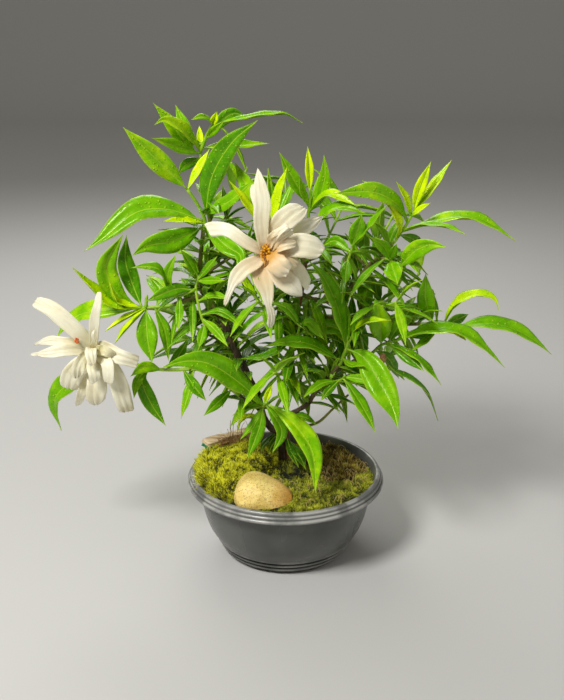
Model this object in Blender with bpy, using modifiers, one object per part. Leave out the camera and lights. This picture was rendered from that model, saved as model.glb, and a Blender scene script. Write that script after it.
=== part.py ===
"""A gardenia bonsai in flower, in a round plastic pot with moss, a pebble and a strip of old wood.

The model is in metres, +Z up, and its origin is the middle of the pot's underside. The named
sizes and the tables of stems, leaves and petals are in millimetres, and MM turns them to metres.

The plant is laid out as it is seen from the front, from EYE. A reading is a pair (x, z) on the
upright plane y = 0 through the pot's middle, and place() carries it along the line of sight to
the depth y where the stem or leaf really is.
"""

import collections
import math
import random

import bmesh
import bpy
from mathutils import Vector
from mathutils.bvhtree import BVHTree

MM = 0.001
GAP = 0.3  # between pieces that touch
UP = Vector((0.0, 0.0, 1.0))

# Where the plant is looked at from, and how much higher the readings lie than the plant does
EYE = Vector((-2.8, -761.0, 442.0))
READ_HIGH = 3.4

# Pot
POT_RADIUS = 80.0
POT_HEIGHT = 68.4
FOOT_RADIUS = 48.4
POT_FLOOR = 4.0
POT_STEPS = 28
LIP_INNER = (73.6, 67.2)  # radius and height of the lip's inner edge
NOTCH = (9.0, 12.0, 2.2)  # width, depth and height of the drain notch in the foot
NOTCH_X = -18.0

# Filling
SOIL_TOP = 46.0
MOSS_BASE_RADIUS = 64.0
MOSS_RINGS = 6
MOSS_EDGE = (63.0, 4.6, 1.5)  # height at the pot's wall, and how much higher it is in front and at the left
MOUND = (-46.0, 15.0, 36.0, 51.0, 19.5)  # centre x and y, half-width, half-depth and height
BRIGHT_MOSS = (-42.0, 6.0, 36.0, 56.0)  # centre x and y, half-width and half-depth
BROWN_MOSS = (44.0, 16.0, 22.0, 32.0)

# Things that lie on the moss
STONE_AT = (-18.5, -45.0, 68.4)
STONE_HALF = (23.5, 18.5, 16.5)
WOOD_ENDS = ((-67.0, 22.0, 79.0), (-25.0, 50.0, 79.0))
WOOD_SECTION = (11.0, 6.0)

# Leaves and petals
LEAF_THICK = 1.4
PETAL_THICK = 1.5
LEAF_SHAPE = 0.21  # least real width of a leaf, as a share of its length
NECK = 0.08  # share of a leaf's length that is its stalk
STALK_HALF = 0.9
FOLD = {"old": 16.0, "grown": 24.0, "young": 36.0, "petal": 12.0}  # degrees that each half is raised
DENSE = 16  # steps along a blade on which its turning is worked out
CLEAR = 0.3  # least space between blades of different stems
TRIES = (0, -4, 4, -8, 8, -12, 12, -17, 17, -22, 22, -28, 28, -35, 35)

# The trunks' feet, in true places: x, y, z
CROWN_AT = (1.0, 18.0)
CROWN_RADIUS = 7.0
CROWN_SPAN = (24.0, 60.0)

# Woody frame: radius at the start and end, then readings (x, z, y) from the root outwards.
FRAME = {
    "trunk_a": (3.1, 3.9, ((-4, 98, 14), (-12, 108, 12), (-18, 118, 10), (-22, 135, 8), (-28, 148, 6),
                           (-33, 160, 4), (-40, 175, 2), (-45, 190, 0), (-52, 203, -2), (-62, 207, -4))),
    "trunk_b": (2.9, 1.7, ((1, 100, 18), (1, 118, 18), (0, 135, 17), (3, 150, 17), (4, 172, 18),
                           (7, 195, 19), (12, 220, 18), (15, 245, 16), (16, 260, 14))),
    "left_high": (2.2, 1.6, ((-45, 190, 0), (-55, 207, 5), (-64, 222, 7), (-66, 233, 7), (-64, 255, 7),
                             (-62, 270, 5))),
    "top_left": (1.7, 1.5, ((-64, 222, 7), (-58, 240, 15), (-56, 265, 20), (-59, 292, 19))),
    "left_outer": (1.8, 1.5, ((-52, 203, -2), (-60, 216, -7), (-72, 217, -10), (-86, 212, -12))),
    "left_inner": (1.6, 1.3, ((-64, 222, 7), (-65, 229, -3), (-66, 233, -10))),
    "left_low": (2.0, 1.6, ((-18, 118, 10), (-22, 125, 4), (-29, 129, 0), (-37, 136, -3))),
    "low_front": (1.9, 1.5, ((-19, 122, 9), (-18, 125, 0), (-18, 126, -7))),
    "front_right": (2.1, 1.5, ((1, 118, 18), (17, 128, 9), (22, 136, 4), (30, 148, 0), (36, 154, -4),
                               (42, 162, -9))),
    "right_middle": (1.7, 1.4, ((36, 154, -4), (50, 163, 1), (60, 169, 3))),
    "right_far": (1.9, 1.4, ((7, 195, 19), (30, 201, 16), (60, 199, 12), (90, 196, 8), (105, 196, 5))),
    "right_high": (1.8, 1.4, ((12, 220, 18), (30, 214, 16), (48, 222, 13), (62, 241, 11), (73, 251, 9),
                              (80, 259, 8))),
    "right_curl": (1.4, 1.2, ((66, 245, 10), (72, 248, 2), (76, 248, -5))),
    "middle_right": (1.5, 1.2, ((39, 217, 14), (43, 226, 5), (45, 238, 0))),
    "low_right": (1.5, 1.2, ((30, 148, 0), (34, 148, -7), (38, 148, -13))),
    "centre": (1.5, 1.2, ((4, 172, 18), (7, 178, 8), (9, 184, 0))),
    "top_bloom": (1.7, 1.4, ((15, 245, 16), (5, 258, 10), (-6, 267, 0))),
    "bare_twig": (1.3, 0.9, ((1, 112, 18), (24, 112, 16), (38, 122, 14), (50, 136, 12))),
    "thin_twig": (1.1, 0.8, ((48, 222, 13), (44, 240, 12), (50, 252, 11), (66, 236, 12))),
}

# Leafy stems: radius, then the routes that go on from the frame branch of the same name.
STEMS = {
    "top_left": (1.5, ((-60, 300, 18), (-63, 328, 15)), ((-63, 328, 15), (-58, 340, 12), (-52, 350, 9))),
    "left_high": (1.6, ((-61, 279, 3), (-66, 290, 0), (-73, 301, -4))),
    "left_outer": (1.5, ((-98, 210, -13), (-111, 209, -14)), ((-108, 209, -14), (-107, 219, -15))),
    "left_inner": (1.3, ((-69, 224, -17), (-66, 205, -21), (-62, 192, -22)),
                   ((-69, 224, -17), (-84, 218, -23), (-92, 222, -25))),
    "left_low": (1.6, ((-45, 143, -5), (-52, 152, -6), (-64, 158, -7), (-98, 158, -10), (-120, 163, -13),
                       (-137, 168, -15), (-147, 171, -21), (-150, 171, -28.6))),
    "low_front": (1.5, ((-17, 128, -17), (-15, 130, -26))),
    "front_right": (1.5, ((47, 174, -15), (49, 181, -17))),
    "right_middle": (1.4, ((68, 172, 2), (74, 178, -2), (82, 181, -5)), ((74, 178, -2), (76, 174, -4))),
    "right_far": (1.4, ((118, 197, 2), (129, 192, 0))),
    "right_high": (1.4, ((84, 264, 8), (91, 275, 6), (96, 285, 4))),
    "right_curl": (1.2, ((81, 246, -9), (87, 240, -13))),
    "middle_right": (1.2, ((50, 255, -6), (50, 259, -7))),
    "low_right": (1.2, ((45, 150, -20), (47, 153, -25))),
    "centre": (1.2, ((10, 190, -7), (12, 196, -14))),
    "top_bloom": (1.5, ((-13, 273, -8), (-18, 272, -20), (-17, 262, -36), (-15, 254, -50.6))),
    "top_middle": (1.5, ((17, 281, 12), (18, 292, 10), (18, 302, 9))),
}

# Leaves: age, seen width, how far the tip lies behind its root, and readings from root to tip.
LEAVES = {
    "top_left": (
        ("young", 10, -18, ((-70, 331), (-84, 350), (-96, 364))),
        ("grown", 10, 8, ((-70, 338), (-75, 350), (-80, 363))),
        ("young", 8, -28, ((-64, 331), (-75, 345), (-88, 352), (-96, 348))),
        ("young", 8, -36, ((-66, 328), (-82, 333), (-98, 339))),
        ("old", 8, -22, ((-64, 326), (-74, 319), (-80, 312))),
        ("young", 5, 12, ((-62, 330), (-63, 348))),
        ("grown", 6, -14, ((-57, 338), (-45, 351))),
        ("old", 10, 16, ((-56, 343), (-40, 356), (-28, 354))),
        ("grown", 3.5, -14, ((-52, 350), (-60, 354), (-69, 352))),
        ("young", 6, -6, ((-53, 347), (-50, 358))),
        ("grown", 7, 14, ((-58, 332), (-42, 333), (-28, 334), (-12, 335))),
        ("grown", 4, 20, ((-52, 348), (-30, 353), (-10, 356), (0, 356), (12, 350))),
    ),
    "left_high": (
        ("grown", 15, -30, ((-64, 278), (-88, 286), (-112, 284), (-138, 264), (-153, 254))),
        ("grown", 13, -48, ((-62, 272), (-85, 262), (-105, 258), (-117, 250))),
        ("young", 5, -22, ((-62, 276), (-78, 277), (-93, 277))),
        ("old", 18, -16, ((-60, 283), (-55, 310), (-40, 335), (-20, 352))),
        ("grown", 10, -25, ((-61, 282), (-42, 292), (-25, 307))),
        ("grown", 14, -34, ((-60, 274), (-45, 258), (-34, 250), (-38, 236))),
        ("young", 16, -22, ((-74, 302), (-90, 318), (-106, 334), (-119, 347))),
        ("young", 6, 8, ((-73, 301), (-64, 316), (-56, 331))),
    ),
    "left_outer": (
        ("old", 14, 14, ((-111, 210), (-118, 230), (-122, 247), (-120, 267))),
        ("grown", 12, -12, ((-113, 210), (-128, 218), (-137, 242), (-122, 268))),
        ("young", 4, -16, ((-112, 209), (-131, 214), (-135, 231))),
        ("young", 8, -20, ((-113, 208), (-135, 211), (-146, 221), (-163, 242))),
        ("grown", 14, 14, ((-112, 208), (-150, 206), (-165, 200), (-180, 184))),
        ("young", 3, -8, ((-110, 207), (-128, 198), (-141, 190))),
        ("young", 3, -26, ((-108, 207), (-122, 194), (-134, 180))),
        ("grown", 13, -16, ((-108, 207), (-108, 185), (-105, 163))),
        ("old", 9, -4, ((-101, 209), (-94, 190), (-92, 165))),
        ("old", 8, 16, ((-99, 211), (-96, 222), (-104, 234))),
    ),
    "left_inner": (
        ("old", 6, -12, ((-67, 233), (-74, 246), (-80, 256))),
        ("grown", 6, -20, ((-67, 230), (-46, 231))),
        ("old", 5, -14, ((-66, 231), (-52, 250))),
        ("old", 6, -16, ((-90, 222), (-95, 238), (-105, 242), (-118, 241))),
        ("grown", 7, -8, ((-88, 221), (-90, 236), (-83, 252))),
        ("old", 10, -22, ((-71, 223), (-85, 224), (-108, 214))),
        ("grown", 6, -20, ((-82, 218), (-82, 205), (-84, 190))),
        ("grown", 8, -14, ((-63, 196), (-68, 176))),
        ("grown", 5, -16, ((-67, 215), (-56, 219), (-42, 216))),
        ("old", 6, -12, ((-65, 203), (-50, 206), (-33, 193))),
        ("grown", 7, -20, ((-65, 200), (-54, 190), (-45, 177))),
    ),
    "left_low": (
        ("grown", 9, -16, ((-98, 159), (-112, 160), (-123, 152))),
        ("old", 12, -12, ((-106, 158), (-114, 150), (-108, 130), (-96, 109))),
        ("young", 6, -20, ((-110, 160), (-118, 147), (-121, 133))),
        ("old", 9, -12, ((-80, 157), (-72, 143), (-63, 131))),
        ("old", 8, -24, ((-43, 141), (-54, 130), (-66, 118))),
        ("grown", 7, -16, ((-72, 157), (-77, 138), (-84, 116))),
        ("grown", 14, 10, ((-138, 168), (-165, 151), (-184, 133), (-181, 105))),
        ("old", 8, 20, ((-92, 158), (-84, 170), (-76, 184))),
        ("old", 7, 18, ((-60, 156), (-64, 168), (-74, 178))),
    ),
    "low_front": (
        ("grown", 17, -36, ((-15, 129), (0, 119), (17, 105), (26, 82), (25, 48))),
        ("old", 10, -14, ((-17, 126), (-21, 108), (-31, 80))),
        ("old", 9, -16, ((-15, 128), (-3, 105), (-11, 85))),
        ("grown", 5, -8, ((-18, 126), (-28, 108), (-37, 97))),
        ("grown", 7, 4, ((-18, 127), (-32, 125), (-45, 108))),
        ("young", 5, -6, ((-17, 129), (-14, 137), (-10, 146))),
        ("grown", 4, -12, ((-17, 128), (-29, 136))),
        ("grown", 20, -34, ((-17, 128), (-38, 148), (-60, 163), (-80, 165), (-99, 159))),
    ),
    "front_right": (
        ("old", 12, -14, ((47, 176), (44, 195), (38, 215), (28, 235), (17, 247))),
        ("grown", 9, 8, ((48, 180), (46, 200), (43, 222))),
        ("young", 4, -16, ((49, 181), (57, 193), (66, 198), (82, 199))),
        ("grown", 21, -46, ((48, 176), (62, 168), (73, 150), (86, 125), (91, 106))),
        ("grown", 5, -26, ((44, 168), (52, 162), (63, 161))),
        ("old", 10, -12, ((43, 166), (20, 179), (0, 181), (-18, 177))),
    ),
    "right_middle": (
        ("young", 14, -12, ((75, 179), (73, 200), (69, 217))),
        ("old", 12, 10, ((80, 181), (90, 198), (99, 210), (108, 210))),
        ("grown", 10, -30, ((78, 180), (100, 187), (125, 191), (145, 184), (160, 172), (173, 160))),
        ("old", 10, -22, ((81, 180), (96, 169), (110, 156))),
        ("old", 5, -40, ((79, 179), (103, 168), (124, 145))),
        ("old", 4, -20, ((73, 176), (85, 158), (100, 150), (113, 138), (123, 114))),
        ("old", 9, 22, ((70, 174), (82, 166), (90, 150))),
    ),
    "right_far": (
        ("young", 7, -18, ((122, 196), (130, 210), (145, 219), (160, 217), (165, 207))),
        ("grown", 4, 12, ((119, 198), (115, 212), (105, 224), (88, 234))),
        ("grown", 14, -12, ((114, 197), (108, 215), (107, 237))),
        ("old", 12, -24, ((117, 196), (108, 190), (98, 184))),
        ("young", 8, -22, ((128, 192), (136, 189), (141, 182))),
        ("grown", 11, -16, ((129, 192), (150, 196), (170, 194), (190, 185), (209, 171))),
        ("grown", 6, -14, ((119, 196), (110, 183), (98, 173))),
        ("old", 8, 18, ((124, 194), (134, 200), (142, 204))),
    ),
    "right_high": (
        ("grown", 14, -30, ((91, 277), (83, 290), (65, 299), (36, 298))),
        ("young", 6, -14, ((83, 263), (85, 273), (80, 285), (74, 291))),
        ("grown", 8, 14, ((92, 278), (75, 297), (56, 308))),
        ("young", 9, -6, ((95, 284), (99, 300), (107, 322))),
        ("young", 7, 6, ((96, 284), (110, 302), (122, 323))),
        ("young", 5, -12, ((94, 282), (88, 296), (82, 307))),
        ("young", 4, -16, ((95, 281), (108, 291))),
        ("grown", 8, -26, ((87, 269), (110, 276), (130, 280), (150, 276), (174, 262))),
        ("grown", 4, -34, ((88, 271), (102, 274), (120, 273), (136, 267))),
        ("old", 8, 22, ((86, 267), (98, 262), (106, 250))),
    ),
    "right_curl": (
        ("grown", 12, -26, ((86, 241), (98, 254), (110, 259), (122, 257))),
        ("grown", 9, -20, ((80, 247), (74, 258), (64, 265))),
        ("young", 11, -30, ((80, 247), (82, 240), (86, 228))),
        ("old", 6, -14, ((79, 247), (84, 260))),
    ),
    "middle_right": (
        ("old", 12, -14, ((50, 257), (54, 270), (57, 283))),
        ("grown", 4, -22, ((51, 258), (64, 274), (76, 290))),
        ("old", 9, -24, ((48, 248), (46, 238), (46, 228))),
        ("old", 8, 14, ((49, 254), (38, 262), (28, 258))),
    ),
    "low_right": (
        ("grown", 9, -22, ((46, 151), (57, 134), (66, 118), (73, 103))),
        ("old", 6, -16, ((42, 149), (34, 140), (28, 131))),
        ("old", 6, -20, ((41, 149), (28, 146), (14, 134))),
        ("grown", 7, -14, ((46, 152), (60, 150), (74, 146))),
    ),
    "centre": (
        ("grown", 8, -16, ((11, 194), (19, 197), (30, 183))),
        ("old", 12, 4, ((10, 188), (34, 194), (52, 184))),
        ("old", 6, -10, ((9, 186), (-14, 170), (-38, 167))),
        ("grown", 6, -16, ((9, 185), (0, 164), (-22, 148))),
        ("old", 7, -10, ((11, 194), (2, 208), (-12, 214))),
    ),
    "top_bloom": (
        ("grown", 14, 14, ((-14, 274), (-22, 290), (-30, 306), (-38, 322))),
        ("young", 6, -4, ((-16, 274), (-28, 286), (-42, 308))),
        ("young", 8, -10, ((-10, 271), (-6, 292), (1, 318))),
        ("grown", 6, 14, ((-12, 273), (-12, 296), (-13, 317))),
        ("old", 7, 18, ((-9, 270), (0, 292), (8, 313))),
        ("old", 10, 26, ((-14, 273), (-24, 262), (-34, 270))),
    ),
    "top_middle": (
        ("grown", 10, -10, ((18, 289), (6, 308), (-5, 329))),
        ("young", 7, -2, ((18, 300), (17, 316), (16, 333))),
        ("grown", 5, -14, ((18, 288), (12, 300), (10, 312))),
        ("grown", 5, 12, ((18, 285), (22, 297), (24, 311))),
        ("young", 6, -22, ((18, 285), (30, 297), (42, 294), (54, 288))),
        ("grown", 10, -8, ((18, 283), (25, 295), (29, 312), (28, 327))),
        ("grown", 8, -26, ((17, 269), (32, 285), (44, 288), (60, 283))),
        ("old", 8, 20, ((17, 272), (4, 282), (-4, 296))),
    ),
}

# Blooms: throat (x, z, y), then petals as width, how far the tip lies behind the throat, readings.
BLOOMS = {
    "top_bloom": (
        (-15, 252, -56),
        (14, -6, ((-17, 268), (-20, 292), (-21, 316))),
        (8, 8, ((-21, 268), (-26, 286), (-29, 302))),
        (12, -2, ((-25, 256), (-42, 266), (-60, 274))),
        (9, -8, ((-27, 243), (-40, 230), (-50, 211))),
        (13, -6, ((-14, 236), (-12, 216), (-10, 192))),
        (13, -12, ((-6, 241), (3, 229), (12, 217))),
        (8, 5, ((2, 245), (11, 236), (21, 226))),
        (17, -9, ((3, 253), (17, 257), (30, 257))),
        (12, 7, ((2, 262), (15, 272), (28, 281))),
        (17, -3, ((-7, 268), (2, 279), (14, 289))),
        (9, -20, ((-8, 260), (-3, 268), (0, 276))),
        (8, -22, ((-5, 254), (2, 259), (8, 266))),
        (8, -19, ((-9, 246), (-2, 241), (5, 238))),
    ),
    "left_bloom": (
        (-150, 170, -34),
        (13, -4, ((-162, 189), (-177, 204), (-192, 214))),
        (8, -8, ((-147, 188), (-145, 205), (-144, 222))),
        (8, 5, ((-166, 178), (-182, 181), (-197, 179))),
        (12, -6, ((-166, 170), (-183, 173), (-199, 171))),
        (12, -9, ((-138, 173), (-128, 172), (-117, 165))),
        (14, -4, ((-141, 158), (-134, 142), (-126, 121))),
        (17, -10, ((-150, 154), (-151, 141), (-153, 127))),
        (9, 6, ((-158, 155), (-163, 141), (-167, 126))),
        (18, -4, ((-160, 161), (-168, 151), (-177, 139))),
        (9, -20, ((-155, 176), (-159, 181), (-163, 186))),
        (11, -20, ((-154, 163), (-157, 156), (-158, 149))),
        (11, -17, ((-147, 162), (-145, 155), (-145, 146))),
    ),
}
CUP_RADIUS = 4.6
THROAT = {"top_bloom": (3.2, 6.4), "left_bloom": (2.4, 4.4)}  # radius and length of the golden centre

# The dried bud that hangs under the right middle stem: reading, half-width and half-height
DRY_BUD = ((76.5, 167.2, -5.5), 2.9, 4.6)

# The dense part of the plant's outline, as seen: filling leaves stay inside it
OUTLINE = (
    (-18, 104), (-44, 114), (-72, 120), (-92, 130), (-100, 150), (-110, 170), (-118, 192), (-122, 214),
    (-114, 238), (-106, 262), (-86, 282), (-72, 304), (-66, 336), (-48, 350), (-26, 338), (-22, 312),
    (-4, 314), (10, 322), (26, 318), (40, 302), (66, 298), (90, 292), (106, 280), (114, 262), (112, 236),
    (122, 212), (120, 186), (108, 164), (98, 146), (84, 126), (62, 118), (40, 108), (22, 104),
)

# Filling stems at the back and sides: reading of the branch's end (x, z, y), its heading in degrees
# (0 to the right, 90 to the back) and rise in degrees, from a trunk reading (x, z, y).
BACK_STEMS = (
    ((-33, 160, 4), (-46, 164, 34), 140, 10),
    ((-40, 175, 2), (-62, 188, 32), 160, 20),
    ((-45, 190, 0), (-50, 214, 44), 120, 30),
    ((-56, 265, 20), (-44, 282, 36), 60, 40),
    ((3, 150, 17), (12, 150, 46), 80, 5),
    ((7, 195, 19), (22, 204, 56), 75, 20),
    ((12, 220, 18), (-14, 236, 48), 110, 35),
    ((15, 245, 16), (28, 258, 40), 60, 30),
    ((15, 249, 15), (2, 282, 30), 100, 55),
    ((30, 201, 16), (52, 192, 40), 35, 10),
    ((60, 199, 12), (74, 212, 36), 30, 20),
    ((48, 222, 13), (62, 250, 36), 50, 30),
    ((22, 136, 4), (46, 152, 30), 20, 5),
    ((-66, 233, 7), (-36, 250, 8), -60, 15),
    ((7, 195, 19), (-8, 208, 6), -110, 15),
    ((3, 150, 17), (-2, 156, 2), -100, 10),
    ((60, 199, 12), (62, 210, 0), -60, 10),
)
BACK_LENGTH = 40.0
PAIRS = 3
FILL_LEAF = (44.0, 62.0)
FILL_SEED = 11
ATTEMPTS = 16

# A leaf or petal. A pair is two opposite leaves in one blade, from tip to tip through the stem.
Blade = collections.namedtuple("Blade", "route width face fold kind")


def place(x, z, y):
    """Carries a reading at (x, z) along the line of sight to the depth y."""
    seen = Vector((x, 0.0, z - READ_HIGH))
    return EYE + (seen - EYE) * ((y - EYE.y) / -EYE.y)


def seen_at(point):
    """The reading at which a point in space is seen."""
    seen = EYE + (point - EYE) * (-EYE.y / (point.y - EYE.y))
    return seen.x, seen.z + READ_HIGH


def inside_outline(point):
    """Whether a point is seen inside the dense part of the plant."""
    x, z = seen_at(point)
    inside = False
    for (ax, az), (bx, bz) in zip(OUTLINE, OUTLINE[1:] + OUTLINE[:1]):
        if (az > z) != (bz > z) and x < ax + (z - az) * (bx - ax) / (bz - az):
            inside = not inside
    return inside


def spline(points, steps):
    """A smooth line through the points, by Catmull-Rom."""
    padded = [2 * points[0] - points[1], *points, 2 * points[-1] - points[-2]]
    line = []
    for a, b, c, d in zip(padded, padded[1:], padded[2:], padded[3:]):
        for step in range(steps):
            t = step / steps
            slope = (c - a) * t
            bend = (2 * a - 5 * b + 4 * c - d) * t * t
            line.append(0.5 * (2 * b + slope + bend + (3 * b - a - 3 * c + d) * t**3))
    line.append(points[-1].copy())
    return line


def at_shares(line, shares):
    """Points at the given shares, in rising order, of a line's length."""
    lengths = [0.0]
    for a, b in zip(line, line[1:]):
        lengths.append(lengths[-1] + (b - a).length)
    found = []
    index = 0
    for share in shares:
        goal = share * lengths[-1]
        while index < len(line) - 2 and lengths[index + 1] < goal:
            index += 1
        part = (goal - lengths[index]) / (lengths[index + 1] - lengths[index])
        found.append(line[index].lerp(line[index + 1], min(max(part, 0.0), 1.0)))
    return found


def blade_frames(blade, shares):
    """Centre, across direction and upper side of a blade at shares of its length."""
    curve = spline(blade.route, 6)
    if blade.kind == "pair":
        middle = len(curve) // 2
        steps = [step / (DENSE // 2) for step in range(DENSE // 2 + 1)]
        line = at_shares(curve[:middle + 1], steps) + at_shares(curve[middle:], steps)[1:]
    else:
        line = at_shares(curve, [step / DENSE for step in range(DENSE + 1)])
    ahead = [(line[min(i + 1, DENSE)] - line[max(i - 1, 0)]).normalized() for i in range(DENSE + 1)]
    ups = [blade.face] * (DENSE + 1)
    for order in (range(DENSE // 2, DENSE + 1), range(DENSE // 2, -1, -1)):
        up = blade.face
        for i in order:
            up = (up - ahead[i] * up.dot(ahead[i])).normalized()
            ups[i] = up
    frames = []
    for share in shares:
        i = min(int(share * DENSE), DENSE - 1)
        part = share * DENSE - i
        along = ahead[i].lerp(ahead[i + 1], part)
        across = along.cross(ups[i].lerp(ups[i + 1], part)).normalized()
        frames.append((line[i].lerp(line[i + 1], part), across, across.cross(along).normalized()))
    return frames


def half_width(blade, share):
    """Half the width of a leaf or petal at a share of its length."""
    if blade.kind == "petal":
        swell = 0.34 + 0.66 * math.sin(math.pi / 2 * min(1.0, share / 0.62))
        end = max(0.0, (share - 0.62) / 0.38)
        return blade.width / 2 * swell * math.sqrt(max(0.0, 1 - end**3.2))
    if blade.kind == "pair":
        share = abs(2 * share - 1)
    if share <= NECK:
        return STALK_HALF
    part = (share - NECK) / (1 - NECK)
    swell = max(0.0, math.sin(math.pi * part**0.85)) ** 0.85 * (1 - 0.12 * part)
    return STALK_HALF * (1 - part) + (blade.width / 2 - STALK_HALF * (1 - part)) * swell


def blade_shares(blade):
    """Shares of the length at which a blade has a row of corners: fewer on small ones."""
    if blade.kind == "petal":
        return (0.0, 0.24, 0.5, 0.75, 0.92, 1.0) if blade.width > 10 else (0.0, 0.35, 0.75, 1.0)
    length = sum((b - a).length for a, b in zip(blade.route, blade.route[1:]))
    if blade.kind == "pair":
        return (0.0, 0.14, 0.3, 0.5, 0.7, 0.86, 1.0)
    if blade.width < 9 or length < 36:
        return (0.0, 0.34, 0.68, 1.0)
    if length < 80:
        return (0.0, 0.22, 0.48, 0.76, 1.0)
    return (0.0, 0.12, 0.34, 0.58, 0.8, 1.0)


def blade_shell(blade, grow=0.0):
    """Corners and triangles of a blade: a four-cornered section carried along its rib to a point."""
    shares = blade_shares(blade)
    thick = (PETAL_THICK if blade.kind == "petal" else LEAF_THICK) / 2 + grow
    rise = math.sin(math.radians(blade.fold))
    reach = math.cos(math.radians(blade.fold))
    frames = blade_frames(blade, shares)
    corners = []
    first = 1 if blade.kind == "pair" else 0
    for share, (centre, across, up) in zip(shares[first:-1], frames[first:-1]):
        half = half_width(blade, share) + grow
        edge = centre + up * (half * rise)
        out = across * (half * reach)
        corners += [edge - out, centre + up * thick, edge + out, centre - up * thick]
    rows = len(corners)
    tip = frames[-1][0]
    corners.append(tip + (tip - frames[-2][0]).normalized() * grow)
    if blade.kind == "pair":
        tip = frames[0][0]
        corners.append(tip + (tip - frames[1][0]).normalized() * grow)
        faces = [((side + 1) % 4, side, rows + 1) for side in range(4)]
    else:
        faces = [(3, 2, 1), (3, 1, 0)]
    for row in range(0, rows - 4, 4):
        for side in range(4):
            a = row + side
            b = row + (side + 1) % 4
            if side % 2 == 0:
                faces += [(a, b, b + 4), (a, b + 4, a + 4)]
            else:
                faces += [(a, b, a + 4), (b, b + 4, a + 4)]
    last = rows - 4
    for side in range(4):
        faces.append((last + side, last + (side + 1) % 4, rows))
    return corners, faces


def nearest_on(routes, goal):
    """The point of a stem's routes that is seen nearest to the reading."""
    best = None
    for number, route in enumerate(routes):
        clear = route if number else route[1:]
        for a, b in zip(clear, clear[1:]):
            for step in range(9):
                point = a.lerp(b, step / 8)
                x, z = seen_at(point)
                far = math.hypot(x - goal[0], z - goal[1])
                if best is None or far < best[0]:
                    best = (far, point)
    return best


def read_blade(root, far, row, shift):
    """A leaf laid out from a row of the table, with its tip moved in depth by shift."""
    age, seen_width, depth, readings = row
    points = readings if far > 2.5 else readings[1:]
    spans = [0.0]
    last = seen_at(root)
    for x, z in points:
        spans.append(spans[-1] + math.hypot(x - last[0], z - last[1]))
        last = (x, z)
    route = [root]
    for (x, z), span in zip(points, spans[1:]):
        route.append(place(x, z, root.y + (depth + shift) * span / spans[-1]))
    length = sum((b - a).length for a, b in zip(route, route[1:]))
    width = max(seen_width, LEAF_SHAPE * length)
    return Blade(route, width, facing(route, seen_width / width), FOLD[age], "leaf")


def facing(route, share):
    """The way a blade's upper side faces, so that this share of its width is seen from the front."""
    chord = (route[-1] - route[0]).normalized()
    sight = (EYE - route[len(route) // 2]).normalized()
    across = chord.cross(sight).normalized()
    front = across.cross(chord)
    turn = math.acos(min(1.0, share))
    ways = [front * math.cos(turn) + across * math.sin(turn) * side for side in (1, -1)]
    return max(ways, key=lambda way: way.z)


def read_petal(throat, row, shift):
    """A petal laid out from a row of the table, from the bloom's throat outwards."""
    width, depth, readings = row
    route = [place(*throat)]
    for number, (x, z) in enumerate(readings, 1):
        share = number / len(readings)
        bow = -7.0 * math.sin(math.pi * share)
        route.append(place(x, z, throat[2] + (depth + shift) * share + bow))
    return Blade(route, width, facing(route, 1.0), FOLD["petal"], "petal")


def fill_route(root, along, heading, length, sweep):
    """A leaf's line on a filling stem: it leaves at an angle and droops towards its tip."""
    side = along.orthogonal().normalized()
    out = side * math.cos(heading) + along.cross(side) * math.sin(heading)
    start = (along * math.cos(sweep) + out * math.sin(sweep)).normalized()
    return [root + start * (length * share) - Vector((0, 0, 0.3 * length * share * share))
            for share in (0.0, 0.35, 0.7, 1.0)]


def fill_leaf(route, length):
    chord = (route[-1] - route[0]).normalized()
    face = UP - chord * UP.dot(chord)
    return Blade(route, length * 0.27, face.normalized(), FOLD["grown"], "leaf")


def fill_pair(root, along, heading, lengths, sweep):
    """Two opposite leaves of a filling stem as one blade, from tip to tip."""
    one = fill_route(root, along, heading, lengths[0], sweep)
    other = fill_route(root, along, heading + math.pi, lengths[1], sweep)
    across = (other[-1] - one[-1]).normalized()
    face = UP - across * UP.dot(across)
    width = 0.27 * sum(lengths) / 2
    return Blade(one[:0:-1] + other, width, face.normalized(), FOLD["grown"], "pair")


class Clearance:
    """Keeps what is placed, and says whether a new blade crosses another stem's pieces."""

    def __init__(self):
        self.pieces = []

    def add(self, owner, corners, faces):
        low = [min(c[i] for c in corners) for i in range(3)]
        high = [max(c[i] for c in corners) for i in range(3)]
        self.pieces.append((owner, low, high, BVHTree.FromPolygons(corners, faces)))

    def blocked(self, owner, corners, faces):
        low = [min(c[i] for c in corners) for i in range(3)]
        high = [max(c[i] for c in corners) for i in range(3)]
        tree = None
        for other, other_low, other_high, other_tree in self.pieces:
            if other == owner:
                continue
            if any(low[i] > other_high[i] or high[i] < other_low[i] for i in range(3)):
                continue
            tree = tree or BVHTree.FromPolygons(corners, faces)
            if tree.overlap(other_tree):
                return True
        return False


# Blender objects


def new_collection(name):
    collection = bpy.data.collections.new(name)
    bpy.context.scene.collection.children.link(collection)
    return collection


def material(name, colour, roughness):
    made = bpy.data.materials.new(name)
    made.use_nodes = True
    shader = made.node_tree.nodes["Principled BSDF"]
    shader.inputs["Base Color"].default_value = (*colour, 1.0)
    shader.inputs["Roughness"].default_value = roughness
    shader.inputs["Metallic"].default_value = 0.0
    return made


def mesh_object(name, mesh, collection):
    made = bpy.data.objects.new(name, mesh)
    collection.objects.link(made)
    return made


def evaluated_mesh(source):
    """The mesh that an object makes with its modifiers or its curve bevel, welded."""
    graph = bpy.context.evaluated_depsgraph_get()
    mesh = bpy.data.meshes.new_from_object(source.evaluated_get(graph))
    shaped = bmesh.new()
    shaped.from_mesh(mesh)
    bmesh.ops.remove_doubles(shaped, verts=shaped.verts, dist=1e-7)
    shaped.to_mesh(mesh)
    shaped.free()
    return mesh


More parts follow.
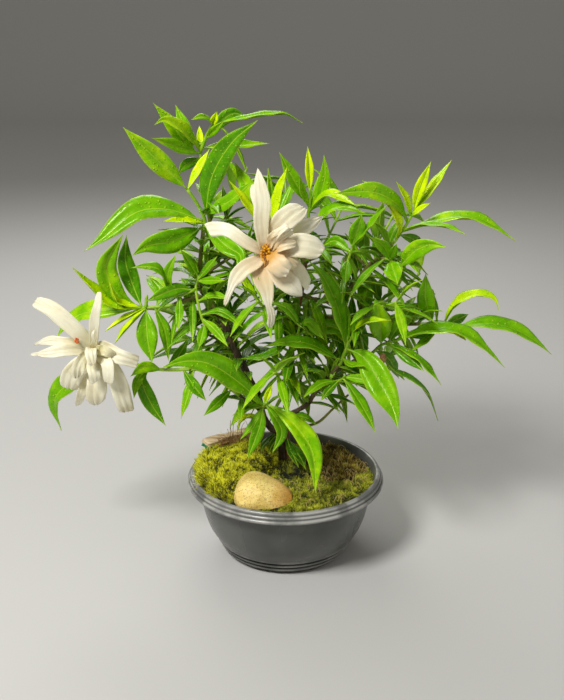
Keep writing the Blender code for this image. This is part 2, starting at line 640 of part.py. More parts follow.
def tube(name, points, radii, collection, resolution=0):
    """A tube with flat ends along points in millimetres, as a mesh object."""
    curve = bpy.data.curves.new(name, "CURVE")
    curve.dimensions = "3D"
    curve.bevel_depth = MM
    curve.bevel_resolution = resolution
    curve.use_fill_caps = True
    line = curve.splines.new("POLY")
    line.points.add(len(points) - 1)
    for spot, point, radius in zip(line.points, points, radii):
        spot.co = (*(point * MM), 1.0)
        spot.radius = radius
    source = mesh_object(name + "_curve", curve, collection)
    bpy.context.view_layer.update()
    made = mesh_object(name, evaluated_mesh(source), collection)
    made.matrix_world = source.matrix_world
    bpy.data.objects.remove(source)
    return made


def shell_object(name, corners, faces, collection):
    mesh = bpy.data.meshes.new(name)
    mesh.from_pydata([corner * MM for corner in corners], [], faces)
    return mesh_object(name, mesh, collection)


def is_one_body(mesh):
    """Whether a mesh is closed and hangs together."""
    shaped = bmesh.new()
    shaped.from_mesh(mesh)
    closed = all(len(edge.link_faces) == 2 for edge in shaped.edges)
    shaped.verts.ensure_lookup_table()
    reached = {0}
    front = [shaped.verts[0]]
    while front:
        for edge in front.pop().link_edges:
            for vert in edge.verts:
                if vert.index not in reached:
                    reached.add(vert.index)
                    front.append(vert)
    whole = closed and len(reached) == len(shaped.verts)
    shaped.free()
    return whole


def fuse(name, pieces, target, finish):
    """Joins crossing closed pieces into one object by a Boolean union, and removes them."""
    base, *others = pieces
    operands = new_collection(name + "_union")
    for other in others:
        for holder in list(other.users_collection):
            holder.objects.unlink(other)
        operands.objects.link(other)
    for solver in ("EXACT", "MANIFOLD"):
        union = base.modifiers.new("union", "BOOLEAN")
        union.operation = "UNION"
        union.operand_type = "COLLECTION"
        union.collection = operands
        union.solver = solver
        bpy.context.view_layer.update()
        mesh = evaluated_mesh(base)
        base.modifiers.remove(union)
        if is_one_body(mesh):
            break
    for piece in pieces:
        bpy.data.objects.remove(piece)
    bpy.data.collections.remove(operands)
    made = mesh_object(name, mesh, target)
    mesh.materials.clear()
    mesh.materials.append(finish)
    return made


def turned(name, profile, collection, finish):
    """A profile of (radius, height) turned about the upright axis by a Screw modifier."""
    mesh = bpy.data.meshes.new(name)
    verts = [(radius * MM, 0.0, height * MM) for radius, height in profile]
    mesh.from_pydata(verts, [(i, i + 1) for i in range(len(verts) - 1)], [])
    made = mesh_object(name, mesh, collection)
    screw = made.modifiers.new("turn", "SCREW")
    screw.steps = POT_STEPS
    screw.render_steps = POT_STEPS
    screw.use_merge_vertices = True
    screw.merge_threshold = 0.00001
    screw.use_smooth_shade = True
    mesh.materials.append(finish)
    return made


def as_cutter(made):
    made.hide_render = True
    made.display_type = "WIRE"
    return made


def cut(target, cutter, operation="DIFFERENCE", solver="EXACT"):
    boolean = target.modifiers.new(cutter.name, "BOOLEAN")
    boolean.operation = operation
    boolean.object = cutter
    boolean.solver = solver


def box(name, size, centre, collection):
    mesh = bpy.data.meshes.new(name)
    shaped = bmesh.new()
    bmesh.ops.create_cube(shaped, size=1.0)
    for vert in shaped.verts:
        vert.co = Vector(vert.co[i] * size[i] + centre[i] for i in range(3)) * MM
    shaped.to_mesh(mesh)
    shaped.free()
    return mesh_object(name, mesh, collection)


def inner_wall(height):
    """Radius of the pot's inner wall at a height above its floor's corner."""
    wall = ((POT_FLOOR, 43), (26, 58), (56, 70.5), LIP_INNER[::-1])
    for (low, inner), (high, outer) in zip(wall, wall[1:]):
        if height <= high:
            return inner + (outer - inner) * (height - low) / (high - low)
    return LIP_INNER[0]


def make_pot(parts, cutters):
    inside = ((0, POT_FLOOR), (43, POT_FLOOR), (58, 26), (70.5, 56))
    lip = (LIP_INNER, (74.8, POT_HEIGHT), (76.4, POT_HEIGHT - 0.2), (77.4, 66.4))
    rings = ((77.2, 65.2), (78.6, 64.2), (78.4, 62.8), (POT_RADIUS, 61.6), (79.8, 59.8))
    wall = ((75.4, 58.8), (72.2, 57.6), (71, 52), (70, 46), (68.2, 38), (65, 28), (60.6, 19), (54.6, 11))
    ridges = ((53.4, 9.0), (51.8, 7.6), (52.2, 6.2), (50.6, 5.2), (50.8, 3.8))
    foot = ((FOOT_RADIUS + 0.6, 2.6), (FOOT_RADIUS, 0.0), (0, 0))
    plastic = material("satin_grey_plastic", (0.045, 0.045, 0.043), 0.45)
    pot = turned("pot", inside + lip + rings + wall + ridges + foot, parts, plastic)
    width, depth, height = NOTCH
    notch = box("foot_notch", (width, depth, 2 * height), (NOTCH_X, -FOOT_RADIUS, 0), cutters)
    cut(pot, as_cutter(notch))


def make_soil(parts, holes):
    profile = (
        (0, SOIL_TOP), (65.4, SOIL_TOP), (57.4, 26), (42.2, POT_FLOOR + GAP), (0, POT_FLOOR + GAP),
    )
    soil = turned("soil", profile, parts, material("potting_soil", (0.05, 0.032, 0.02), 0.95))
    cut(soil, holes)


def moss_top(x, y):
    """Height of the moss's upper surface."""
    cx, cy, half_x, half_y, height = MOUND
    ring = ((x - cx) / half_x) ** 2 + ((y - cy) / half_y) ** 2
    mound = height * max(0.0, 1 - ring**1.5) ** 0.6
    front = 3.5 * math.exp(-(((x - 12) / 40) ** 2) - ((y + 42) / 18) ** 2)
    crown = 7.0 * math.exp(-(((x - 4) / 22) ** 2) - ((y - 14) / 20) ** 2)
    ripple = 1.1 * math.sin(x / 6.5 + 1.0) * math.sin(y / 5.5)
    return 62.5 - y / 12 + max(mound, crown) + front + ripple


def moss_blanket(name, collection):
    """The moss as one blanket over the soil: a round grid raised by a formula and closed below."""
    mesh = bpy.data.meshes.new(name)
    shaped = bmesh.new()
    bmesh.ops.create_grid(shaped, x_segments=POT_STEPS, y_segments=MOSS_RINGS, size=1.0)
    for vert in shaped.verts:
        angle = math.pi * vert.co.x
        share = (vert.co.y + 1) / 2
        sides, front, left = MOSS_EDGE
        edge_z = sides - front * math.sin(angle) - left * math.cos(angle)
        edge = inner_wall(edge_z) - 0.7
        x = edge * share * math.cos(angle)
        y = edge * share * math.sin(angle)
        blend = share**14
        vert.co = Vector((x, y, moss_top(x, y) * (1 - blend) + edge_z * blend)) * MM
    bmesh.ops.remove_doubles(shaped, verts=shaped.verts, dist=0.00001)
    rim = [edge for edge in shaped.edges if edge.is_boundary]
    wall = bmesh.ops.extrude_edge_only(shaped, edges=rim)["geom"]
    for vert in wall:
        if isinstance(vert, bmesh.types.BMVert):
            flat = Vector((vert.co.x, vert.co.y)).normalized() * MOSS_BASE_RADIUS
            vert.co = Vector((flat.x, flat.y, SOIL_TOP + GAP)) * MM
    bottom = [edge for edge in shaped.edges if edge.is_boundary]
    bmesh.ops.contextual_create(shaped, geom=bottom)
    bmesh.ops.recalc_face_normals(shaped, faces=shaped.faces)
    shaped.to_mesh(mesh)
    shaped.free()
    return mesh_object(name, mesh, collection)


def region(name, oval, grow, collection):
    """An upright oval prism that marks out one patch of moss."""
    cx, cy, half_x, half_y = oval
    mesh = bpy.data.meshes.new(name)
    shaped = bmesh.new()
    bmesh.ops.create_cone(shaped, cap_ends=True, segments=22, radius1=1.0, radius2=1.0, depth=1.0)
    for vert in shaped.verts:
        angle = math.atan2(vert.co.y, vert.co.x)
        wave = 1 + 0.06 * math.sin(3 * angle + 1)
        x = cx + (half_x * wave + grow) * math.cos(angle)
        y = cy + (half_y * wave + grow) * math.sin(angle)
        vert.co = Vector((x, y, 65 + 60 * vert.co.z)) * MM
    shaped.to_mesh(mesh)
    shaped.free()
    return as_cutter(mesh_object(name, mesh, collection))


def make_moss(parts, cutters, hollows):
    """Three patches of moss, each cut from the blanket, with hollows for what stands or lies in it."""
    bright = region("bright_region", BRIGHT_MOSS, 0, cutters)
    brown = region("brown_region", BROWN_MOSS, 0, cutters)
    around_bright = region("around_bright", BRIGHT_MOSS, GAP, cutters)
    around_brown = region("around_brown", BROWN_MOSS, GAP, cutters)
    patches = (
        ("moss_bright", (0.36, 0.35, 0.02), ((bright, "INTERSECT"),)),
        ("moss_brown", (0.16, 0.10, 0.03), ((brown, "INTERSECT"),)),
        ("moss_dark", (0.12, 0.15, 0.02), ((around_bright, "DIFFERENCE"), (around_brown, "DIFFERENCE"))),
    )
    for name, colour, cuts in patches:
        patch = moss_blanket(name, parts)
        patch.data.materials.append(material(name, colour, 0.95))
        for cutter, operation in cuts:
            cut(patch, cutter, operation, "MANIFOLD")
        for hollow in hollows:
            cut(patch, hollow, "DIFFERENCE", "MANIFOLD")


def stone_shape(name, grow, collection):
    """An egg-shaped pebble, pointed at its right end and flatter below."""
    mesh = bpy.data.meshes.new(name)
    shaped = bmesh.new()
    bmesh.ops.create_uvsphere(shaped, u_segments=12, v_segments=8, radius=1.0)
    for vert in shaped.verts:
        x, y, z = vert.co
        taper = 1 - 0.2 * x - 0.06 * x * x
        low = 0.86 if z < 0 else 1.0
        spot = Vector((x * (STONE_HALF[0] + grow), y * (STONE_HALF[1] * taper + grow),
                       z * (STONE_HALF[2] * taper * low + grow)))
        lean = math.radians(-7)
        turned_x = spot.x * math.cos(lean) - spot.z * math.sin(lean)
        turned_z = spot.x * math.sin(lean) + spot.z * math.cos(lean)
        vert.co = (Vector((turned_x, spot.y, turned_z)) + Vector(STONE_AT)) * MM
    shaped.to_mesh(mesh)
    shaped.free()
    mesh.shade_smooth()
    return mesh_object(name, mesh, collection)


def wood_shape(name, grow, collection):
    """A strip of old sawn wood, slightly bowed, thinner towards its far end."""
    start, end = (Vector(point) for point in WOOD_ENDS)
    along = (end - start).normalized()
    across = along.cross(Vector((0, 0, 1))).normalized()
    up = across.cross(along)
    length = (end - start).length + 2 * grow
    width, thick = (size + 2 * grow for size in WOOD_SECTION)
    mesh = bpy.data.meshes.new(name)
    shaped = bmesh.new()
    bmesh.ops.create_cube(shaped, size=1.0)
    long_edges = [edge for edge in shaped.edges if abs(edge.verts[0].co.x - edge.verts[1].co.x) > 0.5]
    bmesh.ops.subdivide_edges(shaped, edges=long_edges, cuts=4, use_grid_fill=True)
    middle = (start + end) / 2
    for vert in shaped.verts:
        x, y, z = vert.co
        slim = 1 - 0.16 * (x + 0.5)
        bow = 1.2 * math.cos(math.pi * x) + 0.5 * math.sin(9 * x + 3 * y)
        spot = along * (x * length) + across * (y * width * slim) + up * (z * thick * slim + bow)
        vert.co = (middle + spot) * MM
    bmesh.ops.triangulate(shaped, faces=shaped.faces)
    bmesh.ops.recalc_face_normals(shaped, faces=shaped.faces)
    shaped.to_mesh(mesh)
    shaped.free()
    return mesh_object(name, mesh, collection)


def frame_routes():
    """The woody frame's lines in space: the named branches, then those of the filling stems."""
    routes = {}
    for name, (start, end, readings) in FRAME.items():
        routes[name] = (start, end, [place(*reading) for reading in readings])
    for number, (root, tip, heading, rise) in enumerate(BACK_STEMS):
        start = place(*root)
        end = place(*tip)
        turn = math.radians(heading)
        lift = math.radians(rise)
        way = Vector((math.cos(turn) * math.cos(lift), math.sin(turn) * math.cos(lift), math.sin(lift)))
        bend = end - way * ((end - start).length * 0.35)
        routes[f"fill_{number:02d}"] = (1.5, 1.1, [start, bend, end])
    return routes


def foot_routes(routes):
    """Adds each trunk's foot: straight down into the root crown from its lowest reading."""
    for name, shift in (("trunk_a", -2.5), ("trunk_b", 2.5)):
        start, end, line = routes[name]
        low = Vector((CROWN_AT[0] + shift, CROWN_AT[1], CROWN_SPAN[0] + 6))
        routes[name] = (start, end, [low, *line])


def taper(start, end, count):
    return [start + (end - start) * index / (count - 1) for index in range(count)]


def make_frame(parts, cutters, finish):
    """The woody frame in one body, and the fat copy of its foot that cuts the soil and moss."""
    routes = frame_routes()
    foot_routes(routes)
    pieces = []
    for name, (start, end, line) in routes.items():
        resolution = 1 if name.startswith("trunk") else 0
        pieces.append(tube(name, line, taper(start, end, len(line)), parts, resolution))
    low, high = CROWN_SPAN
    crown_line = [Vector((*CROWN_AT, z)) for z in (low, (low + high) / 2, high)]
    pieces.append(tube("crown", crown_line, (4.5, CROWN_RADIUS, 4.0), parts, 2))
    fat = []
    for name in ("trunk_a", "trunk_b"):
        start, end, line = routes[name]
        foot = [line[0] - Vector((0, 0, 1)), *line[1:4]]
        fat.append(tube(name + "_hole", foot, [start + 0.7] * 4, cutters, 2))
    fat_line = [crown_line[0] - Vector((0, 0, 0.8)), crown_line[1], crown_line[2] + Vector((0, 0, 0.8))]
    fat.append(tube("crown_hole", fat_line, (5.2, CROWN_RADIUS + 0.7, 4.9), cutters, 2))
    hole = as_cutter(fuse("root_hole", fat, cutters, finish))
    frame = fuse("woody_frame", pieces, parts, finish)
    return frame, hole, routes


def stem_routes(routes):
    """The green stems' lines: each goes on straight from its branch's end, a gap away."""
    stems = {}
    for name, (radius, *lists) in STEMS.items():
        branch = routes["trunk_b" if name == "top_middle" else name][2]
        way = (branch[-1] - branch[-2]).normalized()
        lines = []
        for index, readings in enumerate(lists):
            points = [place(*reading) for reading in readings]
            if index == 0:
                points = [branch[-1] + way * GAP, branch[-1] + way * 3, *points]
            lines.append(points)
        stems[name] = (radius, lines)
    for number, (_root, _tip, heading, rise) in enumerate(BACK_STEMS):
        branch = routes[f"fill_{number:02d}"][2]
        way = (branch[-1] - branch[-2]).normalized()
        points = [branch[-1] + way * GAP]
        for step in range(1, 4):
            share = step / 3
            points.append(branch[-1] + way * (BACK_LENGTH * share) + Vector((0, 0, 7 * share * share)))
        stems[f"fill_{number:02d}"] = (1.2, [points])
    return stems


def object_shell(made):
    """Corners in millimetres and faces of an object as it is evaluated."""
    graph = bpy.context.evaluated_depsgraph_get()
    mesh = made.evaluated_get(graph).to_mesh()
    corners = [made.matrix_world @ vert.co / MM for vert in mesh.vertices]
    faces = [tuple(face.vertices) for face in mesh.polygons]
    return corners, faces


def grow_leaves(stems, space):
    """Every stem's leaves, each moved in depth until it is clear of the other stems."""
    leaves = {}
    for name, rows in LEAVES.items():
        lines = stems[name][1]
        leaves[name] = []
        for row in rows:
            far, root = nearest_on(lines, row[3][0])
            for shift in TRIES:
                blade = read_blade(root, far, row, shift)
                if not space.blocked(name, *blade_shell(blade, CLEAR)):
                    leaves[name].append(blade)
                    space.add(name, *blade_shell(blade))
                    break
    return leaves


def grow_petals(space):
    petals = {}
    for name, (throat, *rows) in BLOOMS.items():
        petals[name] = []
        for row in rows:
            for shift in TRIES[:9]:
                blade = read_petal(throat, row, shift)
                if not space.blocked(name + "_petals", *blade_shell(blade, CLEAR)):
                    break
            petals[name].append(blade)
            space.add(name + "_petals", *blade_shell(blade))
    return petals


def grow_filling(stems, space):
    """Leaves of the filling stems, in crossed pairs, by a seeded rule."""
    draw = random.Random(FILL_SEED)
    leaves = {}
    for number, (_root, _tip, heading, _rise) in enumerate(BACK_STEMS):
        name = f"fill_{number:02d}"
        line = stems[name][1][0]
        along = (line[-1] - line[-2]).normalized()
        size = 0.72 if heading < 0 else 1.0
        leaves[name] = []
        for pair in range(PAIRS):
            share = (pair + 1) / PAIRS
            root = at_shares(line, [share * 0.96])[0]
            for attempt in range(ATTEMPTS):
                turn = math.pi / 2 * pair + draw.uniform(-0.8, 0.8)
                lengths = [draw.uniform(*FILL_LEAF) * size for _side in range(2)]
                sweep = math.radians(draw.uniform(50, 70) - 14 * share)
                if attempt < ATTEMPTS / 2:
                    blade = fill_pair(root, along, turn, lengths, sweep)
                else:
                    turn += math.pi * (attempt % 2)
                    blade = fill_leaf(fill_route(root, along, turn, lengths[0], sweep), lengths[0])
                if not all(inside_outline(point) for point in blade.route):
                    continue
                if not space.blocked(name, *blade_shell(blade, CLEAR)):
                    leaves[name].append(blade)
                    space.add(name, *blade_shell(blade))
                    break
    return leaves


def make_leafy_stems(parts, stems, leaves, finish):
    for name, (radius, lines) in stems.items():
        pieces = []
        for index, line in enumerate(lines):
            pieces.append(tube(f"{name}_{index}", line, taper(radius, radius * 0.8, len(line)), parts))
        for number, blade in enumerate(leaves[name]):
            pieces.append(shell_object(f"{name}_leaf_{number}", *blade_shell(blade), parts))
        fuse(name + "_leaves", pieces, parts, finish)


def ball(name, half, centre, collection, segments=8, rings=5):
    """An ellipsoid with half-axes and centre in millimetres."""
    mesh = bpy.data.meshes.new(name)
    shaped = bmesh.new()
    bmesh.ops.create_uvsphere(shaped, u_segments=segments, v_segments=rings, radius=1.0)
    for vert in shaped.verts:
        vert.co = Vector(vert.co[i] * half[i] + centre[i] for i in range(3)) * MM
    shaped.to_mesh(mesh)
    shaped.free()
    mesh.shade_smooth()
    return mesh_object(name, mesh, collection)


def make_blooms(parts, cutters, petals):
    cream = material("gardenia_petal", (0.80, 0.74, 0.60), 0.5)
    gold = material("golden_throat", (0.45, 0.22, 0.04), 0.6)
    for name, (throat, *_rows) in BLOOMS.items():
        middle = place(*throat)
        pieces = [ball(name + "_cup", (CUP_RADIUS,) * 3, middle, parts)]
        for number, blade in enumerate(petals[name]):
            pieces.append(shell_object(f"{name}_petal_{number}", *blade_shell(blade), parts))
        flower = fuse(name + "_petals", pieces, parts, cream)
        radius, length = THROAT[name]
        front = middle + Vector((0, -CUP_RADIUS - GAP - length / 2, 0))
        centre = ball(name + "_centre", (radius, length / 2, radius), front, parts)
        centre.data.materials.append(gold)
        room = (radius + GAP, length / 2 + GAP, radius + GAP)
        cut(flower, as_cutter(ball(name + "_room", room, front, cutters)))


def make_dry_bud(parts):
    reading, half_x, half_z = DRY_BUD
    bud = ball("dried_bud", (half_x, half_x, half_z), place(*reading), parts, 6, 5)
    bud.data.materials.append(material("dried_bud", (0.18, 0.09, 0.04), 0.8))


def main():
    for old in list(bpy.data.objects):
        bpy.data.objects.remove(old)
    parts = new_collection("gardenia_bonsai")
    cutters = new_collection("cutters")
    bark = material("grey_brown_bark", (0.09, 0.065, 0.045), 0.9)
    green = material("gardenia_leaf", (0.09, 0.30, 0.02), 0.3)

    frame, hole, routes = make_frame(parts, cutters, bark)
    make_pot(parts, cutters)
    make_soil(parts, hole)
    stone = stone_shape("stone", 0.0, parts)
    stone.data.materials.append(material("ochre_pebble", (0.50, 0.36, 0.14), 0.7))
    wood = wood_shape("wood_strip", 0.0, parts)
    wood.data.materials.append(material("weathered_wood", (0.30, 0.21, 0.11), 0.85))
    hollows = (hole, as_cutter(stone_shape("stone_hollow", GAP + 0.1, cutters)),
               as_cutter(wood_shape("wood_hollow", GAP + 0.1, cutters)))
    make_moss(parts, cutters, hollows)
    make_dry_bud(parts)
    bpy.context.view_layer.update()

    space = Clearance()
    for made in parts.objects:
        space.add(made.name, *object_shell(made))
    stems = stem_routes(routes)
    for name, (radius, lines) in stems.items():
        for line in lines:
            test = tube("test", line, [radius] * len(line), parts)
            space.add(name, *object_shell(test))
            bpy.data.objects.remove(test)
    petals = grow_petals(space)
    leaves = grow_leaves(stems, space)
    leaves.update(grow_filling(stems, space))
    make_leafy_stems(parts, stems, leaves, green)
    make_blooms(parts, cutters, petals)


main()
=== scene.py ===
"""A gardenia bonsai in flower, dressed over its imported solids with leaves, petals, bark, moss and finishes.

The tables and the numbers with no unit are in millimetres, and MM turns them to metres. The plant is
laid out as it is seen from the front, from EYE. A reading is a pair (x, z) on the upright plane y = 0
through the pot's middle, and place() carries it along the line of sight to its real depth y.
"""

import collections
import math
import random

import bmesh
import bpy
import numpy as np
from mathutils import Matrix, Vector, noise
from mathutils.bvhtree import BVHTree
from mathutils.kdtree import KDTree


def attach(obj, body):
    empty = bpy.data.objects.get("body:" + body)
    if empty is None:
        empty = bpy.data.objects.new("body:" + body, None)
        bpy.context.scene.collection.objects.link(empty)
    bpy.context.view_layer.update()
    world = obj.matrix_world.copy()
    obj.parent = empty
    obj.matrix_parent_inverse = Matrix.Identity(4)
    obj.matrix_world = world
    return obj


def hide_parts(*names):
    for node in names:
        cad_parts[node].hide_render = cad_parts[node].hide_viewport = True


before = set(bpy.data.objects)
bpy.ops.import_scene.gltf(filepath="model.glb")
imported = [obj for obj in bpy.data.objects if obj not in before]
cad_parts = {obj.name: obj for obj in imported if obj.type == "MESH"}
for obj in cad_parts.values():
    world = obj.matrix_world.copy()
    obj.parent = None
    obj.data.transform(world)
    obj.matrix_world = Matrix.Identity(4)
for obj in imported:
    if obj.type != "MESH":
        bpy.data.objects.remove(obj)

bl_info = {
    "name": "Gardenia bonsai",
    "version": (1, 0, 0),
    "blender": (4, 5, 0),
    "location": "3D View > Sidebar > Gardenia",
    "description": "Dresses a potted gardenia bonsai with leaves, petals, bark, moss and finishes",
    "category": "Object",
}

MM = 0.001
GAP = 0.3  # between a green stem's foot and its branch's end
UP = Vector((0.0, 0.0, 1.0))
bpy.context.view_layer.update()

# Where the plant is looked at from, and how much higher the readings lie than the plant does
EYE = Vector((-2.8, -761.0, 442.0))
READ_HIGH = 3.4
CAMERA_PITCH = 19.6
FOCAL_PIXELS = 1030.0
PICTURE = (564, 700)
SENSOR = 36.0

# Lights: place and width in metres, and strength against the key light
LIGHTS = {
    "key": ((-0.56, -0.72, 1.12), 0.4, 1.0),
    "fill": ((0.9, -0.7, 0.6), 0.9, 0.07),
    "back": ((-0.2, 0.9, 1.0), 0.8, 0.4),
}

# Pot: radii of its inner wall at heights, and the place and size of the notch in its foot
INNER_WALL = ((4.0, 43.0), (26.0, 58.0), (56.0, 69.0), (63.4, 72.6), (67.2, 73.6))
NOTCH_AT = (-18.0, -48.4)
NOTCH_SIZE = (9.0, 12.0, 4.4)

# Moss: an oval is a centre and half-widths, and a swell has a height as well
SOIL_TOP = 46.3
MOSS_LEVEL = 62.5
MOSS_EDGE = (63.0, 4.6, 1.5)  # height on the wall at the sides, and how much more in front and at the left
MOUND = (-46.0, 15.0, 36.0, 51.0, 19.5)
FRONT_SWELL = (12.0, -42.0, 40.0, 18.0, 3.5)
CROWN_SWELL = (4.0, 14.0, 22.0, 20.0, 7.0)
BACK_HUMP = (38.0, 40.0, 18.0, 17.0, 9.5)
# Painted shade: a swell taken off the moss shoots' tone between the trunks
PAINTED_MIDDLE_SHADE = (-1.0, 3.0, 26.0, 26.0, 0.6)
BRIGHT_MOSS = (-42.0, 6.0, 36.0, 56.0)
BROWN_MOSS = (44.0, 16.0, 22.0, 32.0)
BESIDE = 0.4  # how clear of the stone and the wood the shoots stand
BEFORE = 2.4  # and in front of the stone, past this y
STONE_FRONT = -56.0
# Each patch's shoots: how many, how long against the others, and how light
SHOOTS = {"moss_bright": (13000, 0.95, 0.2), "moss_dark": (14500, 1.0, 0.16), "moss_brown": (6500, 1.3, 0.13)}

# Stone, wood and the root crown
STONE_AT = (-16.4, -50.5, 69.6)
STONE_HALF = (23.2, 18.5, 14.2)
STONE_LEAN = (9.0, -12.0)  # degrees down to the right, and round towards the front
FACETS = (  # flat sides: where each faces, and its distance
    (-0.5, -0.8, 0.5, 0.9), (0.3, -0.9, 0.35, 0.92), (-0.9, -0.2, 0.5, 0.94), (0.1, -0.4, 0.9, 0.95),
    (0.8, -0.4, 0.6, 0.93), (0.2, 0.9, 0.4, 0.92))
WOOD_ENDS = ((-67.0, 22.0, 79.0), (-25.0, 50.0, 79.0))
WOOD_SECTION = (11.0, 6.0)
CROWN_AT = (1.0, 18.0)
CROWN_FOOT = 30.0
CROWN_RADII = ((24.0, 4.5), (34.0, 6.0), (44.0, 7.0), (54.0, 6.4), (62.0, 4.0))  # at heights
ROOT_FLARES = ((0.3, 12.0), (1.9, 10.0), (3.4, 13.0), (4.9, 11.0))  # heading in radians, and reach

# Leaves and petals: by age, how many degrees each half is raised, the tone, and the width added. The first
# age is old leaves given a darker tone as painted shade.
FOLD = {"deep": 16.0, "old": 16.0, "grown": 24.0, "fresh": 30.0, "young": 36.0, "petal": 12.0}
TONE = {"deep": 0.05, "old": 0.38, "grown": 0.57, "fresh": 0.74, "young": 0.96}
WIDER = {"deep": 0.6, "old": 0.6, "grown": 0.8, "fresh": 1.0, "young": 1.4}
LEAF_SHAPE = 0.21  # least width against length
NECK = 0.08  # share of the length that is stalk
STALK_HALF = 0.9
STRIP = 0.5  # thickness of the flat strip that blades are copied from
DENSE = 16  # steps along a blade
TRIES = (0, -4, 4, -8, 8, -12, 12, -17, 17, -22, 22, -28, 28, -35, 35)  # shifts of a tip's depth
BACK_LENGTH = 40.0
PAIRS = 3
FILL_LEAF = (44.0, 62.0)
FILL_SEED = 11
ATTEMPTS = 16
INNER_LEAF = (26.0, 48.0)
INNER_STEP = 6.0  # between two pairs of inner leaves on a branch
INNER_DEPTH = (-40.0, 110.0)
TOUCH = 2.5  # how near a stem a leaf's first reading is, where it only says where the leaf starts
TIP_MATCH = 0.05  # how near a blade's tip is to a corner of its solid, where it stands as built
BUD_CLEAR = 8.0  # how far from the dried bud inner leaves are seen

# Woody frame: radius at the start and end, then readings (x, z, y) from the root outwards
FRAME = {
    "trunk_a": (3.1, 3.9, ((-4, 98, 14), (-12, 108, 12), (-18, 118, 10), (-22, 135, 8), (-28, 148, 6),
                           (-33, 160, 4), (-40, 175, 2), (-45, 190, 0), (-52, 203, -2), (-62, 207, -4))),
    "trunk_b": (2.9, 1.7, ((1, 100, 18), (1, 118, 18), (0, 135, 17), (3, 150, 17), (4, 172, 18),
                           (7, 195, 19), (12, 220, 18), (15, 245, 16), (16, 260, 14))),
    "left_high": (2.2, 1.6, ((-45, 190, 0), (-55, 207, 5), (-64, 222, 7), (-66, 233, 7), (-64, 255, 7),
                             (-62, 270, 5))),
    "top_left": (1.7, 1.5, ((-64, 222, 7), (-58, 240, 15), (-56, 265, 20), (-59, 292, 19))),
    "left_outer": (1.8, 1.5, ((-52, 203, -2), (-60, 216, -7), (-72, 217, -10), (-86, 212, -12))),
    "left_inner": (1.6, 1.3, ((-64, 222, 7), (-65, 229, -3), (-66, 233, -10))),
    "left_low": (2.0, 1.6, ((-18, 118, 10), (-22, 125, 4), (-29, 129, 0), (-37, 136, -3))),
    "low_front": (1.9, 1.5, ((-19, 122, 9), (-18, 125, 0), (-18, 126, -7))),
    "front_right": (2.1, 1.5, ((1, 118, 18), (17, 128, 9), (22, 136, 4), (30, 148, 0), (36, 154, -4),
                               (42, 162, -9))),
    "right_middle": (1.7, 1.4, ((36, 154, -4), (50, 163, 1), (60, 169, 3))),
    "right_far": (1.9, 1.4, ((7, 195, 19), (30, 201, 16), (60, 199, 12), (90, 196, 8), (105, 196, 5))),
    "right_high": (1.8, 1.4, ((12, 220, 18), (30, 214, 16), (48, 222, 13), (62, 241, 11), (73, 251, 9),
                              (80, 259, 8))),
    "right_curl": (1.4, 1.2, ((66, 245, 10), (72, 248, 2), (76, 248, -5))),
    "middle_right": (1.5, 1.2, ((39, 217, 14), (43, 226, 5), (45, 238, 0))),
    "low_right": (1.5, 1.2, ((30, 148, 0), (34, 148, -7), (38, 148, -13))),
    "centre": (1.5, 1.2, ((4, 172, 18), (7, 178, 8), (9, 184, 0))),
    "top_bloom": (1.7, 1.4, ((15, 245, 16), (5, 258, 10), (-6, 267, 0))),
    "bare_twig": (1.3, 0.9, ((1, 108, 18), (24, 111.5, 16), (38, 124.5, 14), (50, 136.5, 12))),
    "thin_twig": (1.1, 0.8, ((48, 222, 13), (44, 240, 12), (50, 252, 11), (66, 236, 12))),
}

# Leafy stems: radius, then the routes that go on from the frame branch of the same name
STEMS = {
    "top_left": (1.5, ((-60, 300, 18), (-63, 328, 15)), ((-63, 328, 15), (-58, 340, 12), (-52, 350, 9))),
    "left_high": (1.6, ((-61, 279, 3), (-66, 290, 0), (-73, 301, -4))),
    "left_outer": (1.5, ((-98, 210, -13), (-111, 209, -14)), ((-108, 209, -14), (-107, 219, -15))),
    "left_inner": (1.3, ((-69, 224, -17), (-66, 205, -21), (-62, 192, -22)),
                   ((-69, 224, -17), (-84, 218, -23), (-92, 222, -25))),
    "left_low": (1.6, ((-45, 143, -5), (-52, 152, -6), (-64, 158, -7), (-98, 158, -10), (-120, 163, -13),
                       (-137, 168, -15), (-147, 171, -21), (-150, 171, -28.6))),
    "low_front": (1.5, ((-17, 128, -17), (-15, 130, -26))),
    "front_right": (1.5, ((47, 174, -15), (49, 181, -17))),
    "right_middle": (1.4, ((68, 172, 2), (74, 178, -2), (82, 181, -5)), ((74, 178, -2), (76, 174, -4))),
    "right_far": (1.4, ((118, 197, 2), (129, 192, 0))),
    "right_high": (1.4, ((84, 264, 8), (91, 275, 6), (96, 285, 4))),
    "right_curl": (1.2, ((81, 246, -9), (87, 240, -13))),
    "middle_right": (1.2, ((50, 255, -6), (50, 259, -7))),
    "low_right": (1.2, ((45, 150, -20), (47, 153, -25))),
    "centre": (1.2, ((10, 190, -7), (12, 196, -14))),
    "top_bloom": (1.5, ((-13, 273, -8), (-18, 272, -20), (-17, 262, -36), (-15, 254, -50.6))),
    "top_middle": (1.5, ((17, 281, 12), (18, 292, 10), (18, 302, 9))),
}

